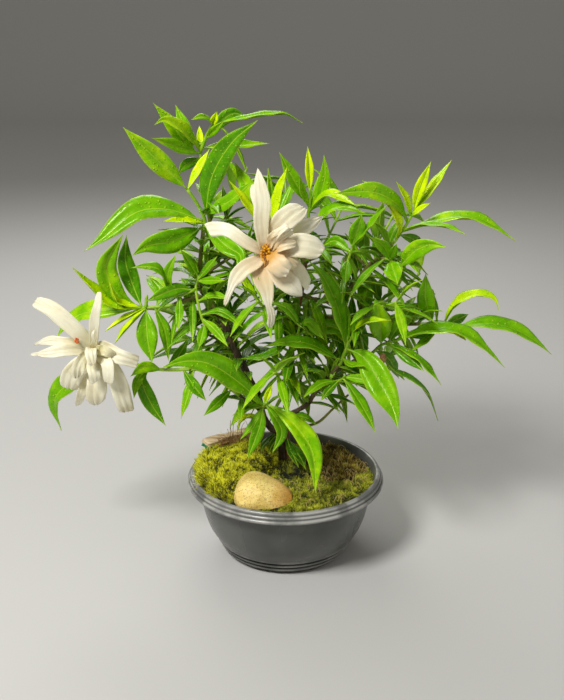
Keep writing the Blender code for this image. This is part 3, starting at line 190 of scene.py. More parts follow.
# Leaves: age, seen width, how far the tip lies behind its root, and readings from root to tip
LEAVES = {
    "top_left": (
        ("fresh", 12, -18, ((-70, 331), (-84, 350), (-96, 364))),
        ("grown", 10, 8, ((-70, 338), (-75, 350), (-80, 363))),
        ("fresh", 9, -28, ((-64, 331), (-75, 345), (-88, 352), (-96, 348))),
        ("grown", 9, -36, ((-66, 328), (-82, 333), (-98, 339))),
        ("old", 8, -22, ((-64, 326), (-74, 319), (-80, 312))),
        ("young", 5, 12, ((-62, 330), (-63, 348))),
        ("grown", 6, -14, ((-57, 338), (-45, 351))),
        ("old", 10, 16, ((-56, 343), (-40, 356), (-28, 354))),
        ("grown", 3.5, -14, ((-52, 350), (-60, 354), (-69, 352))),
        ("young", 6, -6, ((-53, 347), (-50, 358))),
        ("grown", 7, 14, ((-58, 332), (-42, 333), (-28, 334), (-12, 335))),
        ("grown", 4, 20, ((-52, 348), (-30, 353), (-10, 356), (0, 356), (12, 350))),
    ),
    "left_high": (
        ("grown", 18, -30, ((-64, 278), (-88, 286), (-112, 284), (-138, 264), (-153, 254))),
        ("old", 18, -48, ((-62, 272), (-85, 262), (-105, 258), (-117, 250))),
        ("young", 5, -22, ((-62, 276), (-78, 277), (-93, 277))),
        ("old", 18, -16, ((-60, 283), (-55, 310), (-40, 335), (-20, 352))),
        ("grown", 10, -25, ((-61, 282), (-42, 292), (-25, 307))),
        ("grown", 14, -34, ((-60, 274), (-45, 258), (-34, 250), (-38, 236))),
        ("fresh", 17, -22, ((-74, 302), (-90, 318), (-106, 334), (-119, 347))),
        ("young", 6, 8, ((-73, 301), (-64, 316), (-56, 331))),
    ),
    "left_outer": (
        ("old", 14, 14, ((-111, 210), (-118, 230), (-122, 247), (-120, 267))),
        ("grown", 17, -12, ((-113, 210), (-128, 218), (-137, 242), (-122, 268))),
        ("young", 4, -16, ((-112, 209), (-131, 214), (-135, 231))),
        ("fresh", 8, -20, ((-113, 208), (-135, 211), (-146, 221), (-163, 242))),
        ("grown", 14, 14, ((-112, 208), (-150, 206), (-165, 200), (-180, 184))),
        ("young", 3, -8, ((-110, 207), (-128, 198), (-141, 190))),
        ("young", 3, -26, ((-108, 207), (-122, 194), (-134, 180))),
        ("grown", 17, -16, ((-108, 207), (-108, 185), (-105, 163))),
        ("old", 9, -4, ((-101, 209), (-94, 190), (-92, 165))),
        ("old", 8, 16, ((-99, 211), (-96, 222), (-104, 234))),
    ),
    "left_inner": (
        ("old", 6, -12, ((-67, 233), (-74, 246), (-80, 256))),
        ("grown", 6, -20, ((-67, 230), (-46, 231))),
        ("old", 5, -14, ((-66, 231), (-52, 250))),
        ("old", 6, -16, ((-90, 222), (-95, 238), (-105, 242), (-118, 241))),
        ("grown", 7, -8, ((-88, 221), (-90, 236), (-83, 252))),
        ("old", 10, -22, ((-71, 223), (-85, 224), (-108, 214))),
        ("grown", 6, -20, ((-82, 218), (-82, 205), (-84, 190))),
        ("grown", 8, -14, ((-63, 196), (-68, 176))),
        ("grown", 5, -16, ((-67, 215), (-56, 219), (-42, 216))),
        ("old", 6, -12, ((-65, 203), (-50, 206), (-33, 193))),
        ("grown", 7, -20, ((-65, 200), (-54, 190), (-45, 177))),
    ),
    "left_low": (
        ("grown", 9, -16, ((-98, 159), (-112, 160), (-123, 152))),
        ("old", 12, -12, ((-106, 158), (-114, 150), (-108, 130), (-96, 109))),
        ("grown", 7, -20, ((-110, 160), (-118, 147), (-121, 133))),
        ("old", 9, -12, ((-80, 157), (-72, 143), (-63, 131))),
        ("old", 8, -24, ((-43, 141), (-54, 130), (-66, 118))),
        ("grown", 7, -16, ((-72, 157), (-77, 138), (-84, 116))),
        ("grown", 14, 10, ((-138, 168), (-165, 151), (-184, 133), (-181, 105))),
        ("old", 8, 20, ((-92, 158), (-84, 170), (-76, 184))),
        ("old", 7, 18, ((-60, 156), (-64, 168), (-74, 178))),
    ),
    "low_front": (
        ("fresh", 17, -36, ((-15, 129), (-2, 120), (11.5, 105), (22.5, 84), (25, 48))),
        ("old", 10, -14, ((-17, 126), (-21, 108), (-31, 80))),
        ("old", 9, -16, ((-15, 128), (-3, 105), (-11, 85))),
        ("grown", 5, -8, ((-18, 126), (-28, 108), (-37, 97))),
        ("grown", 7, 4, ((-18, 127), (-32, 125), (-45, 108))),
        ("young", 5, -6, ((-17, 129), (-14, 137), (-10, 146))),
        ("grown", 4, -12, ((-17, 128), (-29, 136))),
        ("old", 20, -34, ((-17, 128), (-38, 148), (-60, 163), (-80, 165), (-99, 159))),
    ),
    "front_right": (
        ("old", 12, -14, ((47, 176), (44, 195), (38, 215), (28, 235), (17, 247))),
        ("grown", 9, 8, ((48, 180), (46, 200), (43, 222))),
        ("fresh", 4, -16, ((49, 181), (57, 193), (66, 198), (82, 199))),
        ("grown", 23, -46, ((48, 176), (62, 168), (73, 150), (86, 125), (91, 106))),
        ("grown", 5, -26, ((44, 168), (52, 162), (63, 161))),
        ("old", 10, -12, ((43, 166), (20, 179), (0, 181), (-18, 177))),
    ),
    "right_middle": (
        ("grown", 18, -12, ((75, 179), (73, 200), (69, 217))),
        ("old", 12, 10, ((80, 181), (90, 198), (99, 210), (108, 210))),
        ("grown", 10, -30, ((78, 180), (100, 187), (125, 191), (145, 184), (160, 172), (173, 160))),
        ("old", 10, -22, ((81, 180), (96, 169), (110, 156))),
        ("old", 5, -40, ((79, 179), (103, 168), (124, 145))),
        ("old", 4, -20, ((73, 176), (85, 158), (100, 150), (113, 138), (123, 114))),
        ("old", 9, 22, ((70, 174), (82, 166), (90, 150))),
    ),
    "right_far": (
        ("fresh", 7, -18, ((122, 196), (130, 210), (145, 219), (160, 217), (165, 207))),
        ("grown", 4, 12, ((119, 198), (115, 212), (105, 224), (88, 234))),
        ("grown", 14, -12, ((114, 197), (108, 215), (107, 237))),
        ("old", 12, -24, ((117, 196), (108, 190), (98, 184))),
        ("young", 8, -22, ((128, 192), (136, 189), (141, 182))),
        ("grown", 11, -16, ((129, 192), (150, 196), (170, 194), (190, 185), (209, 171))),
        ("grown", 6, -14, ((119, 196), (110, 183), (98, 173))),
        ("old", 8, 18, ((124, 194), (134, 200), (142, 204))),
    ),
    "right_high": (
        ("grown", 13, -30, ((91, 277), (83, 290), (65, 299), (36, 298))),
        ("young", 6, -14, ((83, 263), (85, 273), (80, 285), (74, 291))),
        ("grown", 8, 14, ((92, 278), (75, 297), (56, 308))),
        ("young", 9, -6, ((95, 284), (99, 300), (107, 322))),
        ("young", 7, 6, ((96, 284), (110, 302), (122, 323))),
        ("young", 5, -12, ((94, 282), (88, 296), (82, 307))),
        ("young", 4, -16, ((95, 281), (108, 291))),
        ("grown", 8, -26, ((87, 269), (110, 276), (130, 280), (150, 276), (174, 262))),
        ("grown", 4, -34, ((88, 271), (102, 274), (120, 273), (136, 267))),
        ("old", 8, 22, ((86, 267), (98, 262), (106, 250))),
    ),
    "right_curl": (
        ("grown", 14, -26, ((86, 241), (98, 254), (110, 259), (122, 257))),
        ("grown", 9, -20, ((80, 247), (74, 258), (64, 265))),
        ("grown", 15, -30, ((80, 247), (82, 240), (86, 228))),
        ("old", 6, -14, ((79, 247), (84, 260))),
    ),
    "middle_right": (
        ("old", 12, -14, ((50, 257), (54, 270), (57, 283))),
        ("grown", 4, -22, ((51, 258), (64, 274), (76, 290))),
        ("old", 9, -24, ((48, 248), (46, 238), (46, 228))),
        ("old", 8, 14, ((49, 254), (38, 262), (28, 258))),
    ),
    "low_right": (
        ("old", 9, -22, ((46, 151), (57, 134), (66, 118), (73, 103))),
        ("old", 6, -16, ((42, 149), (34, 140), (28, 131))),
        ("old", 6, -20, ((41, 149), (28, 146), (14, 134))),
        ("grown", 7, -14, ((46, 152), (60, 150), (74, 146))),
    ),
    "centre": (
        ("grown", 8, -16, ((11, 194), (19, 197), (30, 183))),
        ("old", 12, 4, ((10, 188), (34, 194), (52, 184))),
        ("old", 6, -10, ((9, 186), (-14, 170), (-38, 167))),
        ("grown", 6, -16, ((9, 185), (0, 164), (-22, 148))),
        ("old", 7, -10, ((11, 194), (2, 208), (-12, 214))),
    ),
    "top_bloom": (
        ("fresh", 14, 14, ((-14, 274), (-22, 290), (-30, 306), (-38, 322))),
        ("young", 6, -4, ((-16, 274), (-28, 286), (-42, 308))),
        ("young", 8, -10, ((-10, 271), (-6, 292), (1, 318))),
        ("grown", 6, 14, ((-12, 273), (-12, 296), (-13, 317))),
        ("old", 7, 18, ((-9, 270), (0, 292), (8, 313))),
        ("old", 10, 26, ((-14, 273), (-24, 262), (-34, 270))),
    ),
    "top_middle": (
        ("grown", 10, -10, ((18, 289), (6, 308), (-5, 329))),
        ("young", 7, -2, ((18, 300), (17, 316), (16, 333))),
        ("grown", 5, -14, ((18, 288), (12, 300), (10, 312))),
        ("grown", 5, 12, ((18, 285), (22, 297), (24, 311))),
        ("fresh", 6, -22, ((18, 285), (30, 297), (42, 294), (54, 288))),
        ("grown", 10, -8, ((18, 283), (25, 295), (29, 312), (28, 327))),
        ("grown", 8, -26, ((17, 269), (32, 285), (44, 288), (60, 283))),
        ("old", 8, 20, ((17, 272), (4, 282), (-4, 296))),
    ),
}

# Blooms: throat (x, z, y), then petals as width, how far the tip lies behind the throat, readings, outline,
# how far its end is cut askew, its twist in degrees, its ruffle and its peach flush
BLOOMS = {
    "top_bloom": (
        (-15, 253, -56),
        (10, 8, ((-15, 268), (-17, 284), (-21.5, 296), (-24.6, 305.5)), "broad", 0, 0, 0.04, 0.1),
        (12, 7, ((-2, 262), (6, 269), (17, 274), (28, 281)), "pointed", 0, -15, 0.08, 0.2),
        (10, 4, ((1, 247), (8, 241), (14, 233), (19, 226)), "square", 2, 20, 0.1, 0.5),
        (12, -6, ((-17, 262), (-18.3, 276), (-17.5, 290), (-19.5, 305), (-21, 317)),
         "pointed", 0, 12, 0.05, 0.15),
        (10.5, -2, ((-23, 257), (-32, 262), (-44, 270), (-59.5, 271)), "paddle", 3, -14, 0.1, 0.2),
        (11.5, -8, ((-22, 246), (-31, 241), (-39, 231), (-43, 222), (-48, 211)), "strap", 0, -30, 0.1, 0.5),
        (16.0, -6, ((-17, 243), (-17, 233), (-14, 222), (-13, 212), (-11, 202), (-12, 192)),
         "tailed", 0, 10, 0.05,
         0.9),
        (15, -10, ((-9, 241), (-2, 233), (6, 226), (13, 218)), "pointed", 0, 8, 0.05, 0.7),
        (17.5, -9, ((-5, 256), (4, 258), (16, 258), (29, 254)), "broad", -1, 5, 0.06, 0.25),
        (16.5, -4, ((-10, 265), (-4, 274), (4, 282), (14, 288)), "broad", 1.5, -5, 0.06, 0.25),
        (7, -20, ((-12, 260), (-9, 265), (-4, 270), (1, 274)), "square", 0, 50, 0.4, 0.7),
        (8, -17, ((-11, 258), (-7, 262), (-1, 266), (6, 269)), "square", 0, -40, 0.34, 1.1),
        (9, -16, ((-10, 256), (-5, 258), (1, 260), (8, 261)), "broad", 0, 20, 0.3, 1.2),
        (15, -20, ((-12, 250), (-9, 247), (-4, 242), (3, 238)), "cup", 0, 0, 0.26, 1.5),
        (11, -13, ((-8, 250), (-3, 249), (3, 246), (9, 243)), "cup", 0, 14, 0.26, 1.2),
    ),
    "left_bloom": (
        (-151, 171, -34),
        (8, 5, ((-162, 180), (-173, 181), (-185, 182), (-193, 180), (-198, 179)), "lobed", 0, 10, 0.05, 0.1),
        (7, 4, ((-157, 155), (-162, 140), (-164, 133), (-166, 126)), "broad", 0, 15, 0.08, 0.15),
        (17, -4, ((-158, 164), (-165, 158), (-170, 151), (-173, 141)), "square", 0, 6, 0.06, 0.1),
        (13, -4, ((-156, 182), (-162.5, 190), (-172.8, 200.5), (-181, 208), (-193.5, 215)),
         "square", 0, -8, 0.2, 0.1),
        (8.2, -8, ((-150, 183), (-149, 194), (-147, 205), (-145, 213), (-144, 222)),
         "taper", 0, 30, 0.08, 0.1),
        (9, -5, ((-163, 174), (-174, 174), (-186, 172), (-194, 171), (-201, 171)), "lobed", 0, -8, 0.05, 0.1),
        (14.5, -5, ((-139, 160), (-134, 150), (-131, 139), (-128, 127), (-126, 121)),
         "square", -2, 8, 0.04, 0.1),
        (16, -9, ((-150, 156), (-150, 145), (-151, 136), (-151, 127)), "broad", 0, 0, 0.06, 0.1),
        (15, -10, ((-144, 174), (-137, 172), (-130, 169), (-124, 167), (-116, 164)),
         "stub", 0.5, -4, 0.06, 0.1),
        (10, -15, ((-156, 170), (-161, 165), (-164, 158), (-165, 150)), "broad", 0, 20, 0.32, 0.5),
        (8, -14, ((-147, 174), (-143, 174), (-139, 172), (-135, 169)), "square", 0, 0, 0.1, 0.9),
        (9.5, -20, ((-146, 168), (-141, 164), (-140, 155), (-141, 146)), "square", 0, -10, 0.06, 0.15),
        (10, -21, ((-151, 166), (-152, 160), (-151, 154), (-150, 147)), "square", 1, 6, 0.06, 0.2),
        (5, -18, ((-151, 177), (-150, 182), (-151, 187), (-150, 191)), "strap", 0, 40, 0.1, 0.3),
        (9, -25, ((-152, 176), (-153, 173), (-152, 166), (-151, 162)), "broad", 0, 10, 0.14, 0.35),
    ),
}
# Petal outlines: share of the length, then how much of half the width lies left and right of the middle
PETAL_OUTLINES = {
    "pointed": ((0, 0.5, 0.5), (0.3, 0.85, 0.8), (0.55, 1.0, 1.0), (0.7, 0.95, 0.95), (0.82, 0.7, 0.75),
                (0.92, 0.38, 0.42), (1, 0.04, 0.04)),
    "broad": ((0, 0.5, 0.5), (0.3, 0.85, 0.8), (0.62, 1.0, 0.97), (0.84, 0.86, 0.95), (0.95, 0.55, 0.7),
              (1, 0.28, 0.34)),
    "cup": ((0, 0.5, 0.5), (0.25, 0.8, 0.85), (0.6, 1.0, 1.0), (0.85, 0.9, 1.0), (0.95, 0.82, 0.7),
            (1, 0.7, 0.62)),
    "square": ((0, 0.55, 0.5), (0.3, 0.9, 0.88), (0.6, 1.0, 0.95), (0.86, 0.86, 0.9), (0.97, 0.78, 0.74),
               (1, 0.62, 0.55)),
    "paddle": ((0, 0.6, 0.5), (0.3, 0.8, 0.84), (0.55, 0.82, 0.9), (0.8, 0.86, 1.05), (0.9, 0.95, 1.1),
               (0.98, 0.9, 0.95), (1, 0.8, 0.8)),
    "taper": ((0, 0.5, 0.5), (0.3, 0.85, 0.9), (0.55, 1, 1), (0.75, 0.75, 0.8), (0.92, 0.6, 0.62),
              (0.98, 0.45, 0.45), (1, 0.25, 0.25)),
    "stub": ((0, 0.7, 0.7), (0.3, 1, 1), (0.6, 0.72, 0.8), (0.96, 0.64, 0.66), (1, 0.56, 0.56)),
    "strap": ((0, 0.55, 0.55), (0.28, 1.0, 0.95), (0.52, 0.9, 0.98), (0.66, 0.52, 0.6), (0.76, 0.4, 0.42),
              (0.93, 0.38, 0.4), (1, 0.18, 0.2)),
    "tailed": ((0, 0.55, 0.6), (0.14, 1.0, 1.0), (0.32, 0.92, 0.95), (0.46, 0.62, 0.7), (0.6, 0.42, 0.46),
               (0.66, 0.22, 0.3), (0.72, 0.38, 0.34), (0.94, 0.34, 0.36), (1, 0.08, 0.1)),
    "lobed": ((0, 0.6, 0.6), (0.35, 1.0, 0.95), (0.62, 0.95, 1.0), (0.78, 0.5, 0.55), (0.86, 0.2, 0.3),
              (0.93, 0.34, 0.3), (1, 0.12, 0.14)),
}
WITHERED_SPOT = (-163.5, 182.0, -46.0)
DRY_BUD = ((76.5, 167.2, -5.5), 2.9, 4.6)

# The dense part of the plant's outline, as seen
OUTLINE = (
    (-18, 104), (-44, 114), (-72, 120), (-92, 130), (-100, 150), (-110, 170), (-118, 192), (-122, 214),
    (-114, 238), (-106, 262), (-86, 282), (-72, 304), (-66, 336), (-48, 350), (-26, 338), (-22, 312),
    (-4, 314), (10, 322), (26, 318), (40, 302), (66, 298), (90, 292), (106, 280), (114, 262), (112, 236),
    (122, 212), (120, 186), (108, 164), (98, 146), (84, 126), (62, 118), (40, 108), (22, 104),
)

# Filling stems: reading of the branch's end and root (x, z, y), its heading and its rise in degrees
BACK_STEMS = (
    ((-33, 160, 4), (-46, 164, 34), 140, 10),
    ((-40, 175, 2), (-62, 188, 32), 160, 20),
    ((-45, 190, 0), (-50, 214, 44), 120, 30),
    ((-56, 265, 20), (-44, 282, 36), 60, 40),
    ((3, 150, 17), (12, 150, 46), 80, 5),
    ((7, 195, 19), (22, 204, 56), 75, 20),
    ((12, 220, 18), (-14, 236, 48), 110, 35),
    ((15, 245, 16), (28, 258, 40), 60, 30),
    ((15, 249, 15), (2, 282, 30), 100, 55),
    ((30, 201, 16), (52, 192, 40), 35, 10),
    ((60, 199, 12), (74, 212, 36), 30, 20),
    ((48, 222, 13), (62, 250, 36), 50, 30),
    ((22, 136, 4), (46, 152, 30), 20, 5),
    ((-66, 233, 7), (-36, 250, 8), -60, 15),
    ((7, 195, 19), (-8, 208, 6), -110, 15),
    ((3, 150, 17), (-2, 156, 2), -100, 10),
    ((60, 199, 12), (62, 210, 0), -60, 10),
)

# Small leaves at the trunks' feet: root, age, seen width, how far the tip lies behind it, and readings. Most
# have the darkest age, whose tone is painted shade.
BASE_LEAVES = (
    ((1, 100, 18), "deep", 7, -30, ((3, 92), (7, 82), (11, 72))),
    ((1, 98, 18), "deep", 8, -34, ((6, 90), (12, 82), (17, 70))),
    ((1, 106, 18), "deep", 6, -22, ((12, 104), (21, 98), (29, 88))),
    ((-8, 103, 13), "deep", 5, -24, ((-13, 98), (-18, 92), (-20, 86))),
    ((1, 112, 18), "old", 6, -20, ((8, 118), (16, 117), (26, 110))),
    ((-12, 108, 12), "young", 3.5, -8, ((-26, 117), (-35, 115), (-39, 104))),
    ((1, 104, 18), "deep", 6, -6, ((-6, 98), (-11, 92), (-14, 84))),
)

Blade = collections.namedtuple("Blade", "route width face fold kind tone shape", defaults=((),))


# Where the plant's parts are


def place(x, z, y):
    """Carries a reading at (x, z) along the line of sight to the depth y."""
    seen = Vector((x, 0.0, z - READ_HIGH))
    return EYE + (seen - EYE) * ((y - EYE.y) / -EYE.y)


def seen_at(point):
    """The reading at which a point in space is seen."""
    seen = EYE + (point - EYE) * (-EYE.y / (point.y - EYE.y))
    return seen.x, seen.z + READ_HIGH


def inside_outline(point):
    """Whether a point is seen inside the dense part of the plant."""
    x, z = seen_at(point)
    inside = False
    for (ax, az), (bx, bz) in zip(OUTLINE, OUTLINE[1:] + OUTLINE[:1]):
        if (az > z) != (bz > z) and x < ax + (z - az) * (bx - ax) / (bz - az):
            inside = not inside
    return inside


def spline(points, steps):
    """A smooth line through the points, by Catmull-Rom."""
    padded = [2 * points[0] - points[1], *points, 2 * points[-1] - points[-2]]
    line = []
    for a, b, c, d in zip(padded, padded[1:], padded[2:], padded[3:]):
        for step in range(steps):
            t = step / steps
            slope = (c - a) * t
            bend = (2 * a - 5 * b + 4 * c - d) * t * t
            line.append(0.5 * (2 * b + slope + bend + (3 * b - a - 3 * c + d) * t**3))
    line.append(points[-1].copy())
    return line


def at_shares(line, shares):
    """Points at the given shares, in rising order, of a line's length."""
    lengths = [0.0]
    for a, b in zip(line, line[1:]):
        lengths.append(lengths[-1] + (b - a).length)
    found = []
    index = 0
    for share in shares:
        goal = share * lengths[-1]
        while index < len(line) - 2 and lengths[index + 1] < goal:
            index += 1
        part = (goal - lengths[index]) / (lengths[index + 1] - lengths[index])
        found.append(line[index].lerp(line[index + 1], clamp(part)))
    return found


def blade_frames(blade, shares):
    """Centre, across direction and upper side of a blade at shares of its length."""
    curve = spline(blade.route, 6)
    if blade.kind == "pair":
        middle = len(curve) // 2
        steps = [step / (DENSE // 2) for step in range(DENSE // 2 + 1)]
        line = at_shares(curve[:middle + 1], steps) + at_shares(curve[middle:], steps)[1:]
    else:
        line = at_shares(curve, [step / DENSE for step in range(DENSE + 1)])
    ahead = [(line[min(i + 1, DENSE)] - line[max(i - 1, 0)]).normalized() for i in range(DENSE + 1)]
    ups = [blade.face] * (DENSE + 1)
    for order in (range(DENSE // 2, DENSE + 1), range(DENSE // 2, -1, -1)):
        up = blade.face
        for i in order:
            up = (up - ahead[i] * up.dot(ahead[i])).normalized()
            ups[i] = up
    centres = spline(line, 2)
    frames = []
    for share in shares:
        i = min(int(share * DENSE), DENSE - 1)
        part = share * DENSE - i
        along = ahead[i].lerp(ahead[i + 1], part)
        across = along.cross(ups[i].lerp(ups[i + 1], part)).normalized()
        spot = min(int(share * DENSE * 2), DENSE * 2 - 1)
        centre = centres[spot].lerp(centres[spot + 1], share * DENSE * 2 - spot)
        frames.append((centre, across, across.cross(along).normalized()))
    return frames


def half_width(blade, share):
    """Half the width of a leaf or petal at a share of its length."""
    if blade.kind == "petal":
        return blade.width / 2
    if share <= NECK:
        return STALK_HALF
    part = (share - NECK) / (1 - NECK)
    fullness = max(0.0, math.sin(math.pi * part**0.85)) ** (0.95 + 0.4 * part)
    return STALK_HALF * (1 - part) + (blade.width / 2 - STALK_HALF * (1 - part)) * fullness


def nearest_on(routes, goal):
    """The point of a stem's routes that is seen nearest to the reading."""
    best = None
    for number, route in enumerate(routes):
        clear = route if number else route[1:]
        for a, b in zip(clear, clear[1:]):
            for step in range(9):
                point = a.lerp(b, step / 8)
                x, z = seen_at(point)
                far = math.hypot(x - goal[0], z - goal[1])
                if best is None or far < best[0]:
                    best = (far, point)
    return best


def facing(route, share):
    """The way a blade's upper side faces, so that this share of its width is seen from the front."""
    chord = (route[-1] - route[0]).normalized()
    sight = (EYE - route[len(route) // 2]).normalized()
    across = chord.cross(sight).normalized()
    front = across.cross(chord)
    turn = math.acos(min(1.0, share))
    ways = [front * math.cos(turn) + across * math.sin(turn) * side for side in (1, -1)]
    return max(ways, key=lambda way: way.z)


def read_blade(root, far, row, shift):
    """A leaf laid out from a row of the table, with its tip moved in depth by shift."""
    age, seen_width, depth, readings = row
    points = readings if far > TOUCH else readings[1:]
    spans = [0.0]
    last = seen_at(root)
    for x, z in points:
        spans.append(spans[-1] + math.hypot(x - last[0], z - last[1]))
        last = (x, z)
    route = [root]
    for (x, z), span in zip(points, spans[1:]):
        route.append(place(x, z, root.y + (depth + shift) * span / spans[-1]))
    length = sum((b - a).length for a, b in zip(route, route[1:]))
    width = max(seen_width, LEAF_SHAPE * length)
    face = facing(route, seen_width / width)
    slim = min(width, 2.0 * seen_width + 2.0)
    return Blade(route, slim + WIDER[age], face, FOLD[age], "leaf", TONE[age])


def read_petal(throat, row):
    """A petal laid out from a row of the table, from the bloom's throat outwards."""
    width, depth, readings, *shape, flush = row
    route = [place(*throat)]
    for number, (x, z) in enumerate(readings, 1):
        share = number / len(readings)
        bow = -7.0 * math.sin(math.pi * share)
        route.append(place(x, z, throat[2] + depth * share + bow))
    route[0] = route[0].lerp(route[1], 0.15)
    return Blade(route, width, facing(route, 1.0), FOLD["petal"], "petal", flush, shape)


def fill_route(root, along, heading, length, sweep):
    """A leaf's line on a filling stem: it leaves at an angle and droops towards its tip."""
    side = along.orthogonal().normalized()
    out = side * math.cos(heading) + along.cross(side) * math.sin(heading)
    start = (along * math.cos(sweep) + out * math.sin(sweep)).normalized()
    return [root + start * (length * share) - Vector((0, 0, 0.3 * length * share * share))
            for share in (0.0, 0.35, 0.7, 1.0)]


def upward_leaf(route, width, tone):
    """A leaf whose upper side faces up."""
    chord = (route[-1] - route[0]).normalized()
    face = UP - chord * UP.dot(chord)
    return Blade(route, width, face.normalized(), FOLD["grown"], "leaf", tone)


def frame_routes():
    """The woody frame's lines in space: the named branches, then those of the filling stems."""
    routes = {}
    for name, (start, end, readings) in FRAME.items():
        routes[name] = (start, end, [place(*reading) for reading in readings])
    for number, (root, tip, heading, rise) in enumerate(BACK_STEMS):
        start = place(*root)
        end = place(*tip)
        turn = math.radians(heading)
        lift = math.radians(rise)
        way = Vector((math.cos(turn) * math.cos(lift), math.sin(turn) * math.cos(lift), math.sin(lift)))
        bend = end - way * ((end - start).length * 0.35)
        routes[f"fill_{number:02d}"] = (1.5, 1.1, [start, bend, end])
    for name, shift in (("trunk_a", -2.5), ("trunk_b", 2.5)):
        start, end, line = routes[name]
        low = Vector((CROWN_AT[0] + shift, CROWN_AT[1], CROWN_FOOT))
        routes[name] = (start, end, [low, *line])
    return routes


def stem_routes(routes):
    """The green stems' lines: each goes on straight from its branch's end, a gap away."""
    stems = {}
    for name, (radius, *lists) in STEMS.items():
        branch = routes["trunk_b" if name == "top_middle" else name][2]
        way = (branch[-1] - branch[-2]).normalized()
        lines = []
        for index, readings in enumerate(lists):
            points = [place(*reading) for reading in readings]
            if index == 0:
                points = [branch[-1] + way * GAP, branch[-1] + way * 3, *points]
            lines.append(points)
        stems[name] = (radius, lines)
    for number in range(len(BACK_STEMS)):
        branch = routes[f"fill_{number:02d}"][2]
        way = (branch[-1] - branch[-2]).normalized()
        points = [branch[-1] + way * GAP]
        for step in range(1, 4):
            share = step / 3
            points.append(branch[-1] + way * (BACK_LENGTH * share) + Vector((0, 0, 7 * share * share)))
        stems[f"fill_{number:02d}"] = (1.2, [points])
    return stems


def solid_corners(node):
    """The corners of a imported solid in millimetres, to look up places in."""
    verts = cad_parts[node].data.vertices
    tree = KDTree(len(verts))
    for vert in verts:
        tree.insert(vert.co / MM, vert.index)
    tree.balance()
    return tree


def stands(corners, blade):
    return corners.find(blade.route[-1])[2] < TIP_MATCH


def named_leaves(name, lines):
    """The leaves of one named stem, each at the depth where its solid stands."""
    corners = solid_corners(name + "_leaves")
    blades = []
    for row in LEAVES[name]:
        far, root = nearest_on(lines, row[3][0])
        for shift in TRIES:
            blade = read_blade(root, far, row, shift)
            if stands(corners, blade):
                blades.append(blade)
                break
    return blades


def filling_leaves(stems):
    """The filling stems' leaves, drawn by the seeded rule and kept where their solids stand."""
    draw = random.Random(FILL_SEED)
    leaves = {}
    for number, (_root, _tip, heading, _rise) in enumerate(BACK_STEMS):
        name = f"fill_{number:02d}"
        corners = solid_corners(name + "_leaves")
        line = stems[name][1][0]
        along = (line[-1] - line[-2]).normalized()
        size = 0.72 if heading < 0 else 1.0
        leaves[name] = []
        for pair in range(PAIRS):
            share = (pair + 1) / PAIRS
            root = at_shares(line, [share * 0.96])[0]
            tone = 0.36 + 0.25 * share
            for attempt in range(ATTEMPTS):
                turn = math.pi / 2 * pair + draw.uniform(-0.8, 0.8)
                lengths = [draw.uniform(*FILL_LEAF) * size for _side in range(2)]
                sweep = math.radians(draw.uniform(50, 70) - 14 * share)
                single = attempt >= ATTEMPTS / 2
                turns = [turn + math.pi * (attempt % 2)] if single else [turn, turn + math.pi]
                routes = [fill_route(root, along, way, length, sweep) for way, length in zip(turns, lengths)]
                width = 0.23 * sum(lengths[:len(turns)]) / len(turns)
                found = [upward_leaf(route, width, tone) for route in routes]
                if stands(corners, found[-1]):
                    leaves[name] += found
                    break
    return leaves


def swell(x, y, shape):
    """Height at a place of a soft swell."""
    cx, cy, half_x, half_y, height = shape
    return height * math.exp(-(((x - cx) / half_x) ** 2) - ((y - cy) / half_y) ** 2)


def moss_top(x, y):
    """Height of the moss's upper surface."""
    cx, cy, half_x, half_y, height = MOUND
    ring = ((x - cx) / half_x) ** 2 + ((y - cy) / half_y) ** 2
    mound = height * max(0.0, 1 - ring**1.5) ** 0.6
    highest = max(mound, swell(x, y, CROWN_SWELL), swell(x, y, BACK_HUMP))
    ripple = 1.1 * math.sin(x / 6.5 + 1.0) * math.sin(y / 5.5)
    return MOSS_LEVEL - y / 12 + highest + swell(x, y, FRONT_SWELL) + ripple


def inner_wall(height):
    """Radius of the pot's inner wall at a height."""
    for (low, inner), (high, outer) in zip(INNER_WALL, INNER_WALL[1:]):
        if height <= high:
            return inner + (outer - inner) * (height - low) / (high - low)
    return INNER_WALL[-1][1]


def moss_spot(angle, share):
    """A point of the moss's surface at a share of the way from the middle to the pot's wall."""
    sides, front, left = MOSS_EDGE
    edge_z = sides - front * math.sin(angle) - left * math.cos(angle)
    edge = inner_wall(edge_z) - 0.7
    x = edge * share * math.cos(angle)
    y = edge * share * math.sin(angle)
    blend = share**14
    return Vector((x, y, moss_top(x, y) * (1 - blend) + edge_z * blend))


def in_oval(oval, x, y):
    """Whether a place is inside an oval with a slightly waved edge."""
    cx, cy, half_x, half_y = oval
    angle = math.atan2((y - cy) / half_y, (x - cx) / half_x)
    wave = 1 + 0.06 * math.sin(3 * angle + 1)
    return ((x - cx) / half_x) ** 2 + ((y - cy) / half_y) ** 2 < wave * wave


def moss_patch(x, y):
    """Which patch of moss covers a place."""
    if in_oval(BRIGHT_MOSS, x, y):
        return "moss_bright"
    return "moss_brown" if in_oval(BROWN_MOSS, x, y) else "moss_dark"


# Modelling


def colour(code):
    """A colour in sRGB hex as linear values with full alpha."""
    parts = [int(code[i:i + 2], 16) / 255 for i in (1, 3, 5)]
    return (*(part / 12.92 if part <= 0.04045 else ((part + 0.055) / 1.055) ** 2.4 for part in parts), 1.0)


def clamp(value):
    return min(1.0, max(0.0, value))


def deselect():
    bpy.ops.object.select_all(action="DESELECT")


def alone(*objects):
    """Leaves object mode's selection as just these objects, the last one active."""
    deselect()
    for made in objects:
        made.select_set(True)
    bpy.context.view_layer.objects.active = objects[-1]


def edit(made):
    """Opens an object in edit mode with nothing selected."""
    alone(made)
    bpy.ops.object.mode_set(mode="EDIT")
    bpy.ops.mesh.select_all(action="DESELECT")


